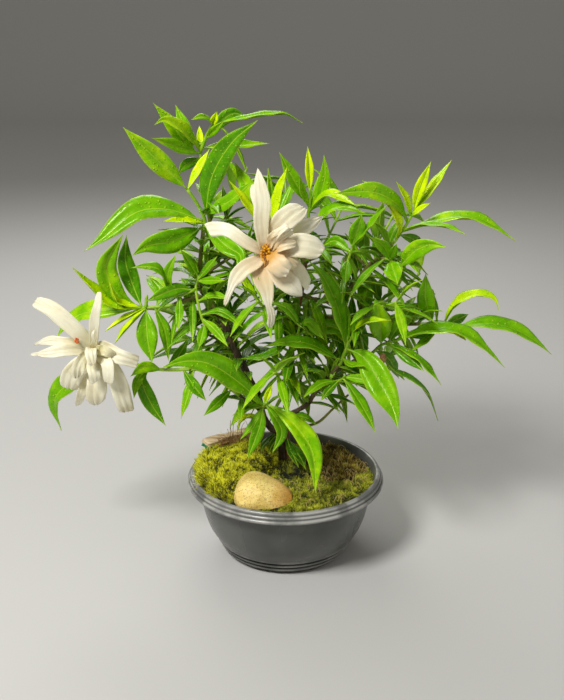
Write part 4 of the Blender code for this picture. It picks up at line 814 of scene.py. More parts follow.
def leave_edit():
    bpy.ops.object.mode_set(mode="OBJECT")


def tidy(made, distance=0.01):
    """Welds doubles and turns the faces outwards."""
    edit(made)
    bpy.ops.mesh.select_all(action="SELECT")
    bpy.ops.mesh.remove_doubles(threshold=distance * MM)
    bpy.ops.mesh.normals_make_consistent(inside=False)
    leave_edit()


def modify(made, kind, **settings):
    """Adds a modifier and applies it."""
    alone(made)
    modifier = made.modifiers.new(kind.lower(), kind)
    for name, value in settings.items():
        setattr(modifier, name, value)
    bpy.ops.object.modifier_apply(modifier=modifier.name)


def corners_of(made):
    """An object's corners as an array in millimetres."""
    values = np.empty(len(made.data.vertices) * 3, np.float32)
    made.data.vertices.foreach_get("co", values)
    return values.reshape(-1, 3).astype(float) / MM


def set_corners(made, corners):
    made.data.vertices.foreach_set("co", (np.asarray(corners) * MM).astype(np.float32).ravel())
    made.data.update()


def set_values(made, name, values):
    """Stores one number for each corner under a name that a material reads."""
    found = made.data.attributes.get(name) or made.data.attributes.new(name, "FLOAT", "POINT")
    found.data.foreach_set("value", np.broadcast_to(values, len(made.data.vertices)).astype(np.float32))


def set_map(made, across, along):
    """A UV map from each corner's distance across and along the surface, in millimetres."""
    layer = made.data.uv_layers.get("UVMap") or made.data.uv_layers.new(name="UVMap")
    loops = np.empty(len(made.data.loops), np.int32)
    made.data.loops.foreach_get("vertex_index", loops)
    pairs = np.column_stack((across / 100 + 0.5, along / 100))[loops]
    layer.data.foreach_set("uv", pairs.astype(np.float32).ravel())


def tubes(name, lines, sides=6):
    """Round stems along lines of (points, radii), made as bevelled curves and turned to one mesh."""
    deselect()
    bpy.ops.curve.primitive_bezier_curve_add(location=(0, 0, 0))
    made = bpy.context.active_object
    curve = made.data
    curve.splines.clear()
    curve.dimensions = "3D"
    curve.bevel_depth = MM
    curve.bevel_resolution = max(0, sides // 2 - 2)
    curve.use_fill_caps = True
    for points, radii in lines:
        line = curve.splines.new("POLY")
        line.points.add(len(points) - 1)
        for spot, point, radius in zip(line.points, points, radii):
            spot.co = (*(point * MM), 1.0)
            spot.radius = radius
    alone(made)
    bpy.ops.object.convert(target="MESH")
    made = bpy.context.active_object
    made.name = name
    tidy(made, 0.002)
    bpy.ops.object.shade_smooth()
    return made


def taper(start, end, count):
    return [start + (end - start) * index / max(1, count - 1) for index in range(count)]


def joined(name, objects):
    """Joins objects into one piece whose name is given."""
    alone(*objects)
    if len(objects) > 1:
        bpy.ops.object.join()
    made = bpy.context.active_object
    made.name = name
    made.data.name = name
    return made


def finish_piece(made, nodes=(), finish=None):
    """Lets a finished piece ride on the plant's one body, in the place of its solids."""
    if finish:
        made.data.materials.append(finish)
    alone(made)
    bpy.ops.object.transform_apply(location=True, rotation=True, scale=True)
    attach(made, "root")
    if nodes:
        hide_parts(*nodes)
    made.select_set(False)


def copy_of(template, name):
    """A copy of an object with its own mesh."""
    made = template.copy()
    made.data = template.data.copy()
    made.name = name
    bpy.context.scene.collection.objects.link(made)
    return made


class BladeForm:
    """A flat strip to copy for each blade, its second finish below, and where its corners lie on a blade.

    The rows of corners gather towards the tip.
    """

    def __init__(self, name, columns, rows, gather, finishes):
        deselect()
        bpy.ops.mesh.primitive_grid_add(
            x_subdivisions=columns, y_subdivisions=rows, size=2, location=(0, 0, 0))
        self.template = bpy.context.active_object
        self.template.name = name
        for finish in finishes:
            self.template.data.materials.append(finish)
        modify(self.template, "SOLIDIFY", thickness=STRIP, offset=-1.0, material_offset=1)
        bpy.ops.object.shade_smooth()
        spots = corners_of(self.template) * MM
        self.across = spots[:, 0]
        self.under = np.clip(-spots[:, 2] / STRIP, 0.0, 1.0)
        self.rows, self.row_of = np.unique(np.round((spots[:, 1] + 1) / 2, 5), return_inverse=True)
        self.shares = 1 - (1 - self.rows) ** gather


def shaped_blade(form, blade, name, section):
    """A copy of the strip bent along a blade: section gives each corner's offsets and thickness."""
    frames = blade_frames(blade, list(form.shares))
    centre, sideways, up = (np.array([spot[i] for spot in frames])[form.row_of] for i in range(3))
    half = np.array([half_width(blade, share) for share in form.shares])[form.row_of]
    length = sum((b - a).length for a, b in zip(blade.route, blade.route[1:]))
    share = form.shares[form.row_of]
    out, rise, thick, slide = section(form.across, share, half)
    along = np.cross(up, sideways) * slide[:, None]
    made = copy_of(form.template, name)
    set_corners(made, centre + along + sideways * out[:, None] + up * (rise - form.under * thick)[:, None])
    set_map(made, out, share * length)
    set_values(made, "tone", blade.tone)
    set_values(made, "edge", np.abs(form.across))
    return made


def leaf_section(blade, draw):
    """How a leaf's halves rise from the midrib, bulge, curl at the margin and wave."""
    fold = math.radians(blade.fold)
    waves = draw.uniform(2.2, 3.6)
    phase = draw.uniform(0, 6.28)
    swing = draw.uniform(0.6, 1.3)

    def section(across, share, half):
        far = np.abs(across)
        body = np.clip(half / 4.0, 0.0, 1.0)
        out = across * half * math.cos(fold) * (1 + 0.06 * np.sin(np.pi * far))
        bulge = 0.16 * half * np.sin(np.pi * far**0.8) - 0.10 * half * far**4
        turns = 2 * np.pi * waves * share + phase + np.sign(across) * 0.9
        wave = swing * body * 0.11 * half * far**2 * np.sin(turns)
        groove = -0.28 * body * np.exp(-(far * half / 0.7) ** 2)
        thick = 0.5 * (1 - 0.55 * far**2)
        return out, half * math.sin(fold) * far + bulge + wave + groove, thick, np.zeros(len(far))

    return section


def petal_section(blade, draw):
    """How a petal is outlined, cupped along its middle, pleated, ruffled at its edge and twisted."""
    outline, skew, twist, ruffle = blade.shape
    stops, left, right = zip(*PETAL_OUTLINES[outline])
    phase = draw.uniform(0, 6.28)
    waves = draw.uniform(1.2, 2.2)
    pleats = draw.uniform(2.6, 4.2)

    def section(across, share, half):
        far = np.abs(across)
        edge = half * np.where(across < 0, np.interp(share, stops, left), np.interp(share, stops, right))
        out = across * edge
        cup = edge * 0.34 * far**2 * (1 - 1.3 * share)
        crease = 0.07 * half * np.abs(np.sin(3.1 * across + 7.0 * share + phase)) * share
        pleat = 0.055 * half * np.sin(pleats * np.pi * across + phase) * (0.2 + share) + crease
        frill = 0.6 * ruffle * half * np.sin(8.0 * across + phase) * share**3
        wave = ruffle * half * far**2 * np.sin(2 * np.pi * waves * share + phase + 1.5 * across) + frill
        rise = cup + pleat + wave - 1.4 * np.clip((share - 0.7) / 0.3, 0, 1) ** 2
        turn = math.radians(twist) * share**2
        thick = 0.6 * (1 - 0.7 * far**2) * (1 - 0.5 * share) + 0.08
        slide = skew * across * share**6
        turned = out * np.cos(turn) - rise * np.sin(turn)
        return turned, out * np.sin(turn) + rise * np.cos(turn), thick, slide

    return section


def rib_line(blade):
    """The stalk and midrib under a leaf, as a line and its radii."""
    shares = [0.0, 0.04, NECK, 0.14, 0.26, 0.42, 0.6, 0.78]
    frames = blade_frames(blade, shares)
    radii = [1.05, 0.9, 0.85, 0.75, 0.62, 0.5, 0.38, 0.2]
    points = [centre - up * (0.25 + 0.25 * min(1.0, share / 0.2))
              for share, (centre, _across, up) in zip(shares, frames)]
    return points, radii


# Finishes


def fill_inputs(tree, made, inputs):
    """Joins or fills the inputs of a node that are named or numbered."""
    for name, value in inputs.items():
        if isinstance(value, bpy.types.NodeSocket):
            tree.links.new(value, made.inputs[name])
        else:
            made.inputs[name].default_value = value


def add_node(tree, kind, inputs=None, out=0, stops=(), **settings):
    """Adds a node with its settings, inputs and colour stops, and gives the output that is asked for."""
    made = tree.nodes.new("ShaderNode" + kind)
    for name, value in settings.items():
        setattr(made, name, value)
    fill_inputs(tree, made, inputs or {})
    marks = made.color_ramp.elements if stops else []
    while len(marks) < len(stops):
        marks.new(0.5)
    for mark, (position, shade) in zip(marks, stops):
        mark.position = position
        mark.color = shade
    return made.outputs[out]


def new_finish(name, **sockets):
    """A material whose shader has these values, and its node tree and shader."""
    made = bpy.data.materials.new(name)
    made.use_nodes = True
    shader = made.node_tree.nodes["Principled BSDF"]
    for socket, value in sockets.items():
        shader.inputs[socket.replace("_", " ")].default_value = value
    return made, made.node_tree, shader


def leaf_finish(looks, name, underside=False):
    """Gardenia leaf: waxy and glossy above with sunken pale veins, matte and paler below."""
    made, tree, shader = new_finish(name, IOR=1.45, Specular_IOR_Level=0.34, Specular_Tint=looks.shine)
    across = add_node(tree, "SeparateXYZ", {0: add_node(tree, "UVMap", uv_map="UVMap")})
    along = across.node.outputs["Y"]
    side = add_node(tree, "Math", {0: across, 1: 0.5}, operation="SUBTRACT")
    far = add_node(tree, "Math", {0: side}, operation="ABSOLUTE")
    at = add_node(tree, "TexCoord", out="Object")
    # Age, with clouds of tone about 10 mm across
    tone = add_node(tree, "Attribute", out="Fac", attribute_name="tone")
    cloud = add_node(tree, "TexNoise", {"Vector": at, "Scale": 95.0, "Detail": 3.0})
    shift = add_node(tree, "MapRange", {0: cloud, 1: 0.3, 2: 0.7, 3: -0.12, 4: 0.12})
    age = add_node(tree, "Math", {0: tone, 1: shift}, operation="ADD", use_clamp=True)
    base = add_node(tree, "ValToRGB", {0: age}, stops=(
        (0.0, looks.oldest_and_shaded), (0.3, looks.old), (0.62, looks.grown), (1.0, looks.young)))
    # Midrib and slanting side veins
    rib = add_node(tree, "MapRange", {0: far, 1: 0.0012, 2: 0.0062, 3: 1.0, 4: 0.0})
    slant = add_node(tree, "Math", {0: far, 1: -0.85, 2: along}, operation="MULTIPLY_ADD")
    ruled = add_node(tree, "Math", {0: slant, 1: looks.vein_gap / 0.2}, operation="PINGPONG")
    line = add_node(tree, "MapRange", {0: ruled, 1: 0.0, 2: 0.006, 3: 0.18, 4: 0.0})
    vein = add_node(tree, "Math", {0: rib, 1: line}, operation="MAXIMUM")
    faint = add_node(tree, "Math", {0: vein, 1: 0.5}, operation="MULTIPLY")
    # Painted highlight along the margin, and drops of water painted pale as their glints
    edge = add_node(tree, "Attribute", out="Fac", attribute_name="edge")
    margin = add_node(tree, "MapRange", {0: edge, 1: 0.86, 2: 1.0, 3: 0.0, 4: 0.6})
    wet = add_node(tree, "TexVoronoi", {"Vector": at, "Scale": 1.0 / looks.drop_gap})
    drop_glint = add_node(tree, "MapRange", {0: wet, 1: 0.1, 2: 0.24, 3: 0.45, 4: 0.0})
    pale = add_node(tree, "Math", {0: margin, 1: drop_glint}, operation="MAXIMUM")
    lines = add_node(tree, "Math", {0: pale, 1: faint}, operation="MAXIMUM")
    tint = add_node(tree, "Mix", {0: lines, 6: base, 7: looks.vein}, out=2, data_type="RGBA")
    # Relief: grain about 1 mm wide, swollen between the veins, and the drops
    grain = add_node(tree, "TexNoise", {"Vector": at, "Scale": 900.0, "Detail": 2.0})
    puffed = add_node(tree, "Math", {0: ruled, 1: 6.0}, operation="MULTIPLY")
    height = add_node(tree, "Math", {0: grain, 1: 0.35, 2: puffed}, operation="MULTIPLY_ADD")
    drop = add_node(tree, "MapRange", {0: wet, 1: 0.08, 2: 0.26, 3: 3.0, 4: 0.0})
    dotted = add_node(tree, "Math", {0: height, 1: drop}, operation="ADD")
    sunk = add_node(tree, "Math", {0: vein, 1: -0.5, 2: dotted}, operation="MULTIPLY_ADD")
    bump = add_node(tree, "Bump", {"Strength": 0.5, "Distance": 0.0006, "Height": sunk})
    if underside:
        tint = add_node(tree, "Mix", {0: 0.45, 6: tint, 7: looks.under}, out=2, data_type="RGBA")
        wax = {"Roughness": 0.55}
    else:
        gloss = add_node(tree, "MapRange", {0: cloud, 1: 0.3, 2: 0.7, 3: 0.22, 4: 0.4})
        wax = {"Roughness": gloss, "Coat Weight": 0.12, "Coat Roughness": 0.12}
    fill_inputs(tree, shader, {"Base Color": tint, "Normal": bump, **wax})
    return made


def stem_finish(looks):
    """Green gardenia stem: a thin skin with a faint grain about 4 mm wide, lighter than the leaves."""
    made, tree, shader = new_finish("gardenia_green_stem", Roughness=0.45)
    at = add_node(tree, "TexCoord", out="Object")
    cloud = add_node(tree, "TexNoise", {"Vector": at, "Scale": 240.0, "Detail": 4.0})
    tint = add_node(tree, "ValToRGB", {0: cloud}, stops=((0.3, looks.grown), (0.65, looks.stem)))
    bump = add_node(tree, "Bump", {"Strength": 0.4, "Distance": 0.0003, "Height": cloud})
    fill_inputs(tree, shader, {"Base Color": tint, "Normal": bump})
    return made


def petal_finish(looks, name, flush_tint):
    """Gardenia petal: thick, soft and waxy, cream with a flush near the throat and streaks along it."""
    made, tree, shader = new_finish(
        name, Roughness=0.5, Sheen_Weight=0.15,
        Subsurface_Weight=0.12, Subsurface_Radius=(1.0, 0.8, 0.5), Subsurface_Scale=0.002)
    where = add_node(tree, "UVMap", uv_map="UVMap")
    along = add_node(tree, "SeparateXYZ", {0: where}, out="Y")
    at = add_node(tree, "TexCoord", out="Object")
    # Streaks about 1 mm wide and 12 mm long, and clouds about 14 mm across
    stretched = add_node(tree, "Mapping", {"Vector": where, "Scale": (110.0, 8.0, 1.0)})
    streak = add_node(tree, "TexNoise", {"Vector": stretched, "Scale": 1.0, "Detail": 3.0})
    cloud = add_node(tree, "TexNoise", {"Vector": at, "Scale": 70.0, "Detail": 3.0})
    cream = add_node(tree, "ValToRGB", {0: cloud}, stops=((0.34, looks.shade), (0.62, looks.cream)))
    tone = add_node(tree, "Attribute", out="Fac", attribute_name="tone")
    near = add_node(tree, "MapRange", {0: along, 1: 0.05, 2: 0.32, 3: 0.9, 4: 0.0})
    flush = add_node(tree, "Math", {0: near, 1: tone}, operation="MULTIPLY", use_clamp=True)
    warm = add_node(tree, "Mix", {0: flush, 6: cream, 7: flush_tint}, out=2, data_type="RGBA")
    thin = add_node(tree, "MapRange", {0: streak, 1: 0.35, 2: 0.7, 3: 0.95, 4: 1.0})
    tint = add_node(tree, "Mix", {0: 1.0, 6: warm, 7: thin}, out=2, data_type="RGBA", blend_type="MULTIPLY")
    bump = add_node(tree, "Bump", {"Strength": 0.35, "Distance": 0.0005, "Height": streak})
    fill_inputs(tree, shader, {"Base Color": tint, "Normal": bump})
    return made


def mottled_finish(name, scale, low, high, roughness, depth, stretch=(1.0, 1.0, 1.0), turn=0.0, over=None):
    """A rough natural surface whose colour and relief follow one noise, stretched along its grain.

    The scale is 1000 over the patches' size in mm, and over() lays more colours on the first.
    """
    made, tree, shader = new_finish(name, Roughness=roughness)
    at = add_node(tree, "TexCoord", out="Object")
    grain = add_node(tree, "Mapping", {"Vector": at, "Rotation": (0.0, 0.0, turn), "Scale": stretch})
    cloud = add_node(tree, "TexNoise", {"Vector": grain, "Scale": scale, "Detail": 6.0, "Roughness": 0.62})
    tint = add_node(tree, "ValToRGB", {0: cloud}, stops=((0.32, low), (0.68, high)))
    if over:
        tint = over(tree, tint, cloud)
    bump = add_node(tree, "Bump", {"Strength": 0.8, "Distance": depth, "Height": cloud})
    fill_inputs(tree, shader, {"Base Color": tint, "Normal": bump})
    return made


def rusty_end(tree, tint, _cloud):
    """The pebble's rusty right end, and brown specks about 1 mm wide."""
    at = add_node(tree, "TexCoord", out="Object")
    right = add_node(tree, "SeparateXYZ", {0: at})
    end = add_node(tree, "MapRange", {0: right, 1: -0.014, 2: 0.005, 3: 0.0, 4: 0.8})
    rust = add_node(tree, "Mix", {0: end, 6: tint, 7: colour("#cf8a2a")}, out=2, data_type="RGBA")
    grain = add_node(tree, "TexNoise", {"Vector": at, "Scale": 900.0, "Detail": 3.0})
    speck = add_node(tree, "MapRange", {0: grain, 1: 0.53, 2: 0.64, 3: 0.0, 4: 0.6})
    return add_node(tree, "Mix", {0: speck, 6: rust, 7: colour("#946a30")}, out=2, data_type="RGBA")


def sawn_end(tree, tint, _cloud):
    """The wood strip's pale sawn end and its green stain."""
    for patch, code in (("sawn", "#ecd0a8"), ("stain", "#1f8a5c")):
        share = add_node(tree, "Attribute", out="Fac", attribute_name=patch)
        tint = add_node(tree, "Mix", {0: share, 6: tint, 7: colour(code)}, out=2, data_type="RGBA")
    return tint


def bark_ages(tree, tint, cloud):
    """Bark that is green on young branches and ruddy on the right trunk."""
    fresh = add_node(tree, "Attribute", out="Fac", attribute_name="green")
    partly = add_node(tree, "Math", {0: fresh, 1: 0.7}, operation="MULTIPLY")
    mixed = add_node(tree, "Mix", {0: partly, 6: tint, 7: colour("#8a8c38")}, out=2, data_type="RGBA")
    red = add_node(tree, "Attribute", out="Fac", attribute_name="red")
    ruddy = add_node(tree, "ValToRGB", {0: cloud}, stops=(
        (0.34, colour("#54301c")), (0.66, colour("#b07850"))))
    return add_node(tree, "Mix", {0: red, 6: mixed, 7: ruddy}, out=2, data_type="RGBA")


def plastic_finish(looks):
    """Injection-moulded polypropylene: dark grey satin, with paler scuffs and painted glints on the ridges of
    the lip and foot.
    """
    made, tree, shader = new_finish("satin_grey_polypropylene", IOR=1.49)
    at = add_node(tree, "TexCoord", out="Object")
    # Clouds about 33 mm across, and patches of scuffs and painted glints about 17 mm long
    cloud = add_node(tree, "TexNoise", {"Vector": at, "Scale": 30.0, "Detail": 2.0})
    scuff_and_glint = add_node(tree, "TexNoise", {"Vector": at, "Scale": 60.0, "Detail": 5.0})
    # Scuffs and painted glints where the profile marks the ridges' crests
    worn_and_glint = add_node(tree, "Attribute", out="Fac", attribute_name="worn_and_glint")
    patchy = add_node(tree, "MapRange", {0: scuff_and_glint, 1: 0.42, 2: 0.6, 3: 0.2, 4: 0.75})
    rubbed_and_glint = add_node(tree, "Math", {0: worn_and_glint, 1: patchy}, operation="MULTIPLY")
    body = add_node(tree, "ValToRGB", {0: cloud}, stops=((0.3, looks.dark), (0.7, looks.grey)))
    tint = add_node(tree, "Mix", {0: rubbed_and_glint, 6: body, 7: looks.scuff_and_glint}, out=2, data_type="RGBA")
    gloss = add_node(tree, "MapRange", {0: cloud, 1: 0.3, 2: 0.7, 3: 0.2, 4: 0.3})
    bump = add_node(tree, "Bump", {"Strength": 0.1, "Distance": 0.0002, "Height": scuff_and_glint})
    fill_inputs(tree, shader, {"Base Color": tint, "Roughness": gloss, "Normal": bump})
    return made


def moss_finish(name, low, middle, high):
    """Living moss: each shoot has its own tone, darker at its foot, and dry strands are straw or rust."""
    made, tree, shader = new_finish(name, Roughness=0.8, Sheen_Weight=0.06)
    at = add_node(tree, "TexCoord", out="Object")
    tone = add_node(tree, "Attribute", out="Fac", attribute_name="tone")
    # Clouds of tone about 8 mm across
    cloud = add_node(tree, "TexNoise", {"Vector": at, "Scale": 130.0, "Detail": 4.0})
    shift = add_node(tree, "MapRange", {0: cloud, 1: 0.35, 2: 0.65, 3: -0.25, 4: 0.25})
    share = add_node(tree, "Math", {0: tone, 1: shift}, operation="ADD", use_clamp=True)
    green = add_node(tree, "ValToRGB", {0: share}, stops=((0.0, low), (0.5, middle), (1.0, high)))
    rust = add_node(tree, "MapRange", {0: tone, 1: -1.0, 2: -2.0, 3: 0.0, 4: 1.0})
    hay = colour("#c2a862")
    straw = add_node(tree, "Mix", {0: rust, 6: hay, 7: colour("#8a4a1c")}, out=2, data_type="RGBA")
    dry = add_node(tree, "Math", {0: tone, 1: -0.5}, operation="LESS_THAN")
    tint = add_node(tree, "Mix", {0: dry, 6: green, 7: straw}, out=2, data_type="RGBA")
    fill_inputs(tree, shader, {"Base Color": tint})
    return made


# Sizes and colours that a user would change


def length(name, size, about):
    return bpy.props.FloatProperty(name=name, default=size * MM, min=0.0, unit="LENGTH", description=about)


def tint(name, code, about):
    return bpy.props.FloatVectorProperty(
        name=name, default=colour(code), size=4, min=0.0, max=1.0, subtype="COLOR", description=about)


class GardeniaPot(bpy.types.PropertyGroup):
    """The plastic pot."""

    lip_radius: length("Lip radius", 80.0, "Radius of the pot at the widest ridge of its lip")
    height: length("Height", 68.4, "Height of the lip's top edge")
    dark: tint("Dark plastic", "#444542", "Darker tone of the plastic")
    grey: tint("Grey plastic", "#5b5c58", "Lighter tone of the plastic")
    # Paler scuffs with painted glints on the crests of the lip's and foot's ridges
    scuff_and_glint: tint("Scuffed ridges", "#c4c2ba", "Colour of the worn ridges on the lip")


class GardeniaMoss(bpy.types.PropertyGroup):
    """The moss in the pot."""

    shoot: length("Shoot length", 3.4, "Length of one moss shoot")
    seed: bpy.props.IntProperty(name="Seed", default=5, description="Seed of the shoots' places")


class GardeniaLeaf(bpy.types.PropertyGroup):
    """The leaves and green stems."""

    # Darkest green: old leaves, darkened further as painted shade for leaves deep in the plant
    oldest_and_shaded: tint("Oldest leaf", "#2a5a06", "Leaves deep in the plant")
    old: tint("Old leaf", "#4c8e04", "Last year's leaves")
    grown: tint("Grown leaf", "#76b402", "Full-grown leaves")
    young: tint("Young leaf", "#dcf606", "Leaves that are still opening")
    under: tint("Underside", "#93bb38", "Paler tint of the leaves' undersides")
    # Vein colour, also used for the painted margin highlight and the drops' painted glints
    vein: tint("Veins", "#c4dc3e", "Midrib, side veins and margin")
    stem: tint("Stem", "#a2bf2e", "Green stems")
    shine: tint("Shine", "#ecff8c", "Tint of the leaves' wax")
    vein_gap: length("Vein spacing", 5.0, "Distance between side veins")
    drop_gap: length("Drop spacing", 3.8, "Distance between drops of water on the leaves")
    seed: bpy.props.IntProperty(name="Seed", default=12, description="Seed of the inner leaves' places")


class GardeniaBloom(bpy.types.PropertyGroup):
    """The flowers."""

    cream: tint("Cream", "#f2ecd0", "The petals' faces")
    shade: tint("Cream shade", "#e6dcb8", "The petals' darker clouds")
    flush: tint("Flush", "#d4a04a", "Warm tint of the top bloom's petals near the throat")
    green: tint("Green flush", "#c6c07c", "Tint of the left bloom's petals near the throat")
    gold: tint("Gold", "#f0b818", "Stamens in the throat")
    # Brown of the painted shade deep in the throat
    throat_shade: tint("Ember", "#b0701a", "Depth of the throat")


class GardeniaStage(bpy.types.PropertyGroup):
    """Floor and light."""

    floor: tint("Floor", "#c4c2bd", "Pale floor and backdrop")
    power: bpy.props.FloatProperty(name="Key light", default=17.0, min=0.0, unit="POWER",
                                   description="Strength of the key light")


# Pieces


def pot_profile():
    """The pot's section as (radius, height, scuffing with painted glint), from the middle of the floor inside
    to outside.
    """
    rise = bpy.context.scene.gardenia_pot.height / MM
    wide = bpy.context.scene.gardenia_pot.lip_radius / MM
    inside = [(0.0, 4.0, 0), (43.0, 4.0, 0), (48.5, 11.0, 0), (53.5, 19.0, 0), (58.0, 26.2, 0),
              (62.6, 36.0, 0), (66.8, 46.0, 0), (69.0, 56.0, 0), (72.6, 63.4, 0.05), (73.6, 67.0, 0.2)]
    # Third values: scuffing and painted glint, highest on the ridges' crests
    lip = [(73.95, rise - 0.35, 0.6), (74.5, rise, 0.9), (75.4, rise + 0.02, 0.6), (76.4, rise - 0.3, 0.7),
           (76.9, rise - 0.95, 1.0), (77.2, rise - 1.9, 0.25), (77.35, rise - 2.9, 0.15),
           (78.15, rise - 3.3, 0.9), (78.55, rise - 3.9, 0.9), (78.5, rise - 4.6, 0.3),
           (78.45, rise - 5.5, 0.15), (79.3, rise - 5.9, 0.8), (wide - 0.1, rise - 6.5, 1.0),
           (wide, rise - 7.3, 0.8), (79.7, rise - 8.3, 0.35), (79.2, rise - 8.9, 0.1)]
    under = [(76.2, 58.7, 0), (73.2, 58.2, 0), (71.3, 57.6, 0), (70.5, 56.4, 0)]
    wall = [(70.0, 53.6, 0), (69.6, 50.0, 0.02), (69.0, 46.0, 0), (68.3, 42.0, 0), (67.4, 38.0, 0),
            (66.2, 33.0, 0), (64.7, 28.0, 0), (62.9, 23.4, 0), (60.4, 19.0, 0), (58.0, 15.4, 0)]
    steps = [(57.6, 14.6, 0.2), (57.2, 12.9, 0.4), (56.0, 12.3, 0.1), (54.0, 11.6, 0), (53.8, 10.6, 0.1),
             (55.2, 10.1, 0.2), (54.9, 8.5, 0.4), (53.6, 7.9, 0.1), (51.9, 7.3, 0), (51.7, 6.4, 0.1),
             (53.0, 5.9, 0.2), (52.7, 4.3, 0.4), (51.4, 3.7, 0.1), (49.6, 3.1, 0), (49.2, 1.4, 0.1)]
    foot = [(48.4, 0.0, 0), (46.6, 0.0, 0), (45.6, 0.9, 0), (45.0, 1.6, 0), (20.0, 1.6, 0), (0.0, 1.6, 0)]
    return inside + lip + under + wall + steps + foot


class GARDENIA_OT_pot(bpy.types.Operator):
    """Turns the pot, with its ridged lip, stepped foot and drain notch"""

    bl_idname = "gardenia.pot"
    bl_label = "Pot"

    def execute(self, context):
        profile = pot_profile()
        deselect()
        bpy.ops.mesh.primitive_plane_add(size=1.0, location=(0, 0, 0))
        made = context.active_object
        made.name = "pot_bowl"
        bpy.ops.object.mode_set(mode="EDIT")
        bpy.ops.mesh.merge(type="CENTER")
        first, *rest = (Vector((radius, 0.0, height)) * MM for radius, height, _wear_and_glint in profile)
        bpy.ops.transform.translate(value=first)
        for last, goal in zip([first, *rest], rest):
            bpy.ops.mesh.extrude_region_move(TRANSFORM_OT_translate={"value": goal - last})
        bpy.ops.mesh.select_all(action="SELECT")
        bpy.ops.mesh.spin(steps=112, angle=2 * math.pi, center=(0, 0, 0), axis=(0, 0, 1))
        leave_edit()
        tidy(made, 0.02)
        spots = corners_of(made)
        reach = np.hypot(spots[:, 0], spots[:, 1])
        wear_and_glint = np.zeros(len(spots))
        for radius, height, worn_and_glint in profile:
            wear_and_glint[np.hypot(reach - radius, spots[:, 2] - height) < 0.05] = worn_and_glint
        set_values(made, "worn_and_glint", wear_and_glint)
        deselect()
        bpy.ops.mesh.primitive_cube_add(size=1.0, location=(NOTCH_AT[0] * MM, NOTCH_AT[1] * MM, 0))
        notch = context.active_object
        notch.scale = [size * MM for size in NOTCH_SIZE]
        modify(made, "BOOLEAN", operation="DIFFERENCE", object=notch, solver="EXACT")
        bpy.data.objects.remove(notch)
        alone(made)
        bpy.ops.object.shade_smooth_by_angle(angle=math.radians(38))
        finish_piece(made, ["pot"], plastic_finish(context.scene.gardenia_pot))
        return {"FINISHED"}


class GARDENIA_OT_soil(bpy.types.Operator):
    """Gives the soil that fills the pot its finish"""

    bl_idname = "gardenia.soil"
    bl_label = "Soil"

    def execute(self, context):
        # Potting soil: peat and bark crumbs about 2 mm across, dark brown and fully rough
        finish = mottled_finish("potting_soil", 420.0, colour("#1d130b"), colour("#4b3524"), 0.95, 0.0015)
        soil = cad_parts["soil"]
        soil.data.materials.clear()
        soil.data.materials.append(finish)
        return {"FINISHED"}


def moss_bed(name):
    """One patch of moss as a closed bed whose top follows the moss and whose foot is on the soil."""
    deselect()
    bpy.ops.mesh.primitive_grid_add(x_subdivisions=108, y_subdivisions=26, size=2, location=(0, 0, 0))
    made = bpy.context.active_object
    spots = corners_of(made) * MM
    tops = [moss_spot(math.pi * x, (y + 1) / 2) for x, y, _z in spots]
    set_corners(made, [(top.x, top.y, top.z) for top in tops])
    tidy(made)
    shaped = bmesh.new()
    shaped.from_mesh(made.data)
    for face in list(shaped.faces):
        middle = face.calc_center_median() / MM
        if moss_patch(middle.x, middle.y) != name:
            shaped.faces.remove(face)
    bmesh.ops.delete(shaped, geom=[vert for vert in shaped.verts if not vert.link_faces], context="VERTS")
    tops = {vert: vert.co.copy() for vert in shaped.verts}
    for vert in shaped.verts:
        flat = Vector((vert.co.x, vert.co.y)) * (64.0 / 72.0)
        vert.co = Vector((flat.x, flat.y, SOIL_TOP * MM))
    heights = [tops[vert] for vert in shaped.verts]
    shaped.to_mesh(made.data)
    shaped.free()
    count = len(heights)
    edit(made)
    bpy.ops.mesh.select_all(action="SELECT")
    bpy.ops.mesh.extrude_region_move(TRANSFORM_OT_translate={"value": (0, 0, 10 * MM)})
    leave_edit()
    base = {(round(v.co.x, 7), round(v.co.y, 7)): top for v, top in zip(made.data.vertices[:count], heights)}
    for vert in made.data.vertices:
        top = base.get((round(vert.co.x, 7), round(vert.co.y, 7)))
        if vert.co.z > (SOIL_TOP + 5) * MM and top is not None:
            rough = noise.noise(top * 160) * 1.2 * MM
            vert.co = top + Vector((0, 0, rough - 0.6 * MM))
    tidy(made)
    return made


def shoot_template():
    """A tiny tuft of moss: pointed leaflets leaning out from one foot."""
    parts = []
    for turn, lean, size in ((0.4, 0.2, 1.0), (2.4, 0.75, 0.85), (4.6, 0.8, 0.8)):
        deselect()
        bpy.ops.mesh.primitive_cone_add(vertices=3, radius1=0.2, radius2=0.0, depth=1.0, end_fill_type="NGON",
                                        location=(0, 0, 0))
        made = bpy.context.active_object
        made.scale = (1.0, 1.0, size)
        made.rotation_euler = (lean, 0.0, turn)
        tilted = Matrix.Rotation(lean, 3, "X") @ Vector((0, 0, 0.5 * size))
        made.location = Matrix.Rotation(turn, 3, "Z") @ tilted
        bpy.ops.object.transform_apply(location=True, rotation=True, scale=True)
        parts.append(made)
    return joined("moss_shoot", parts)


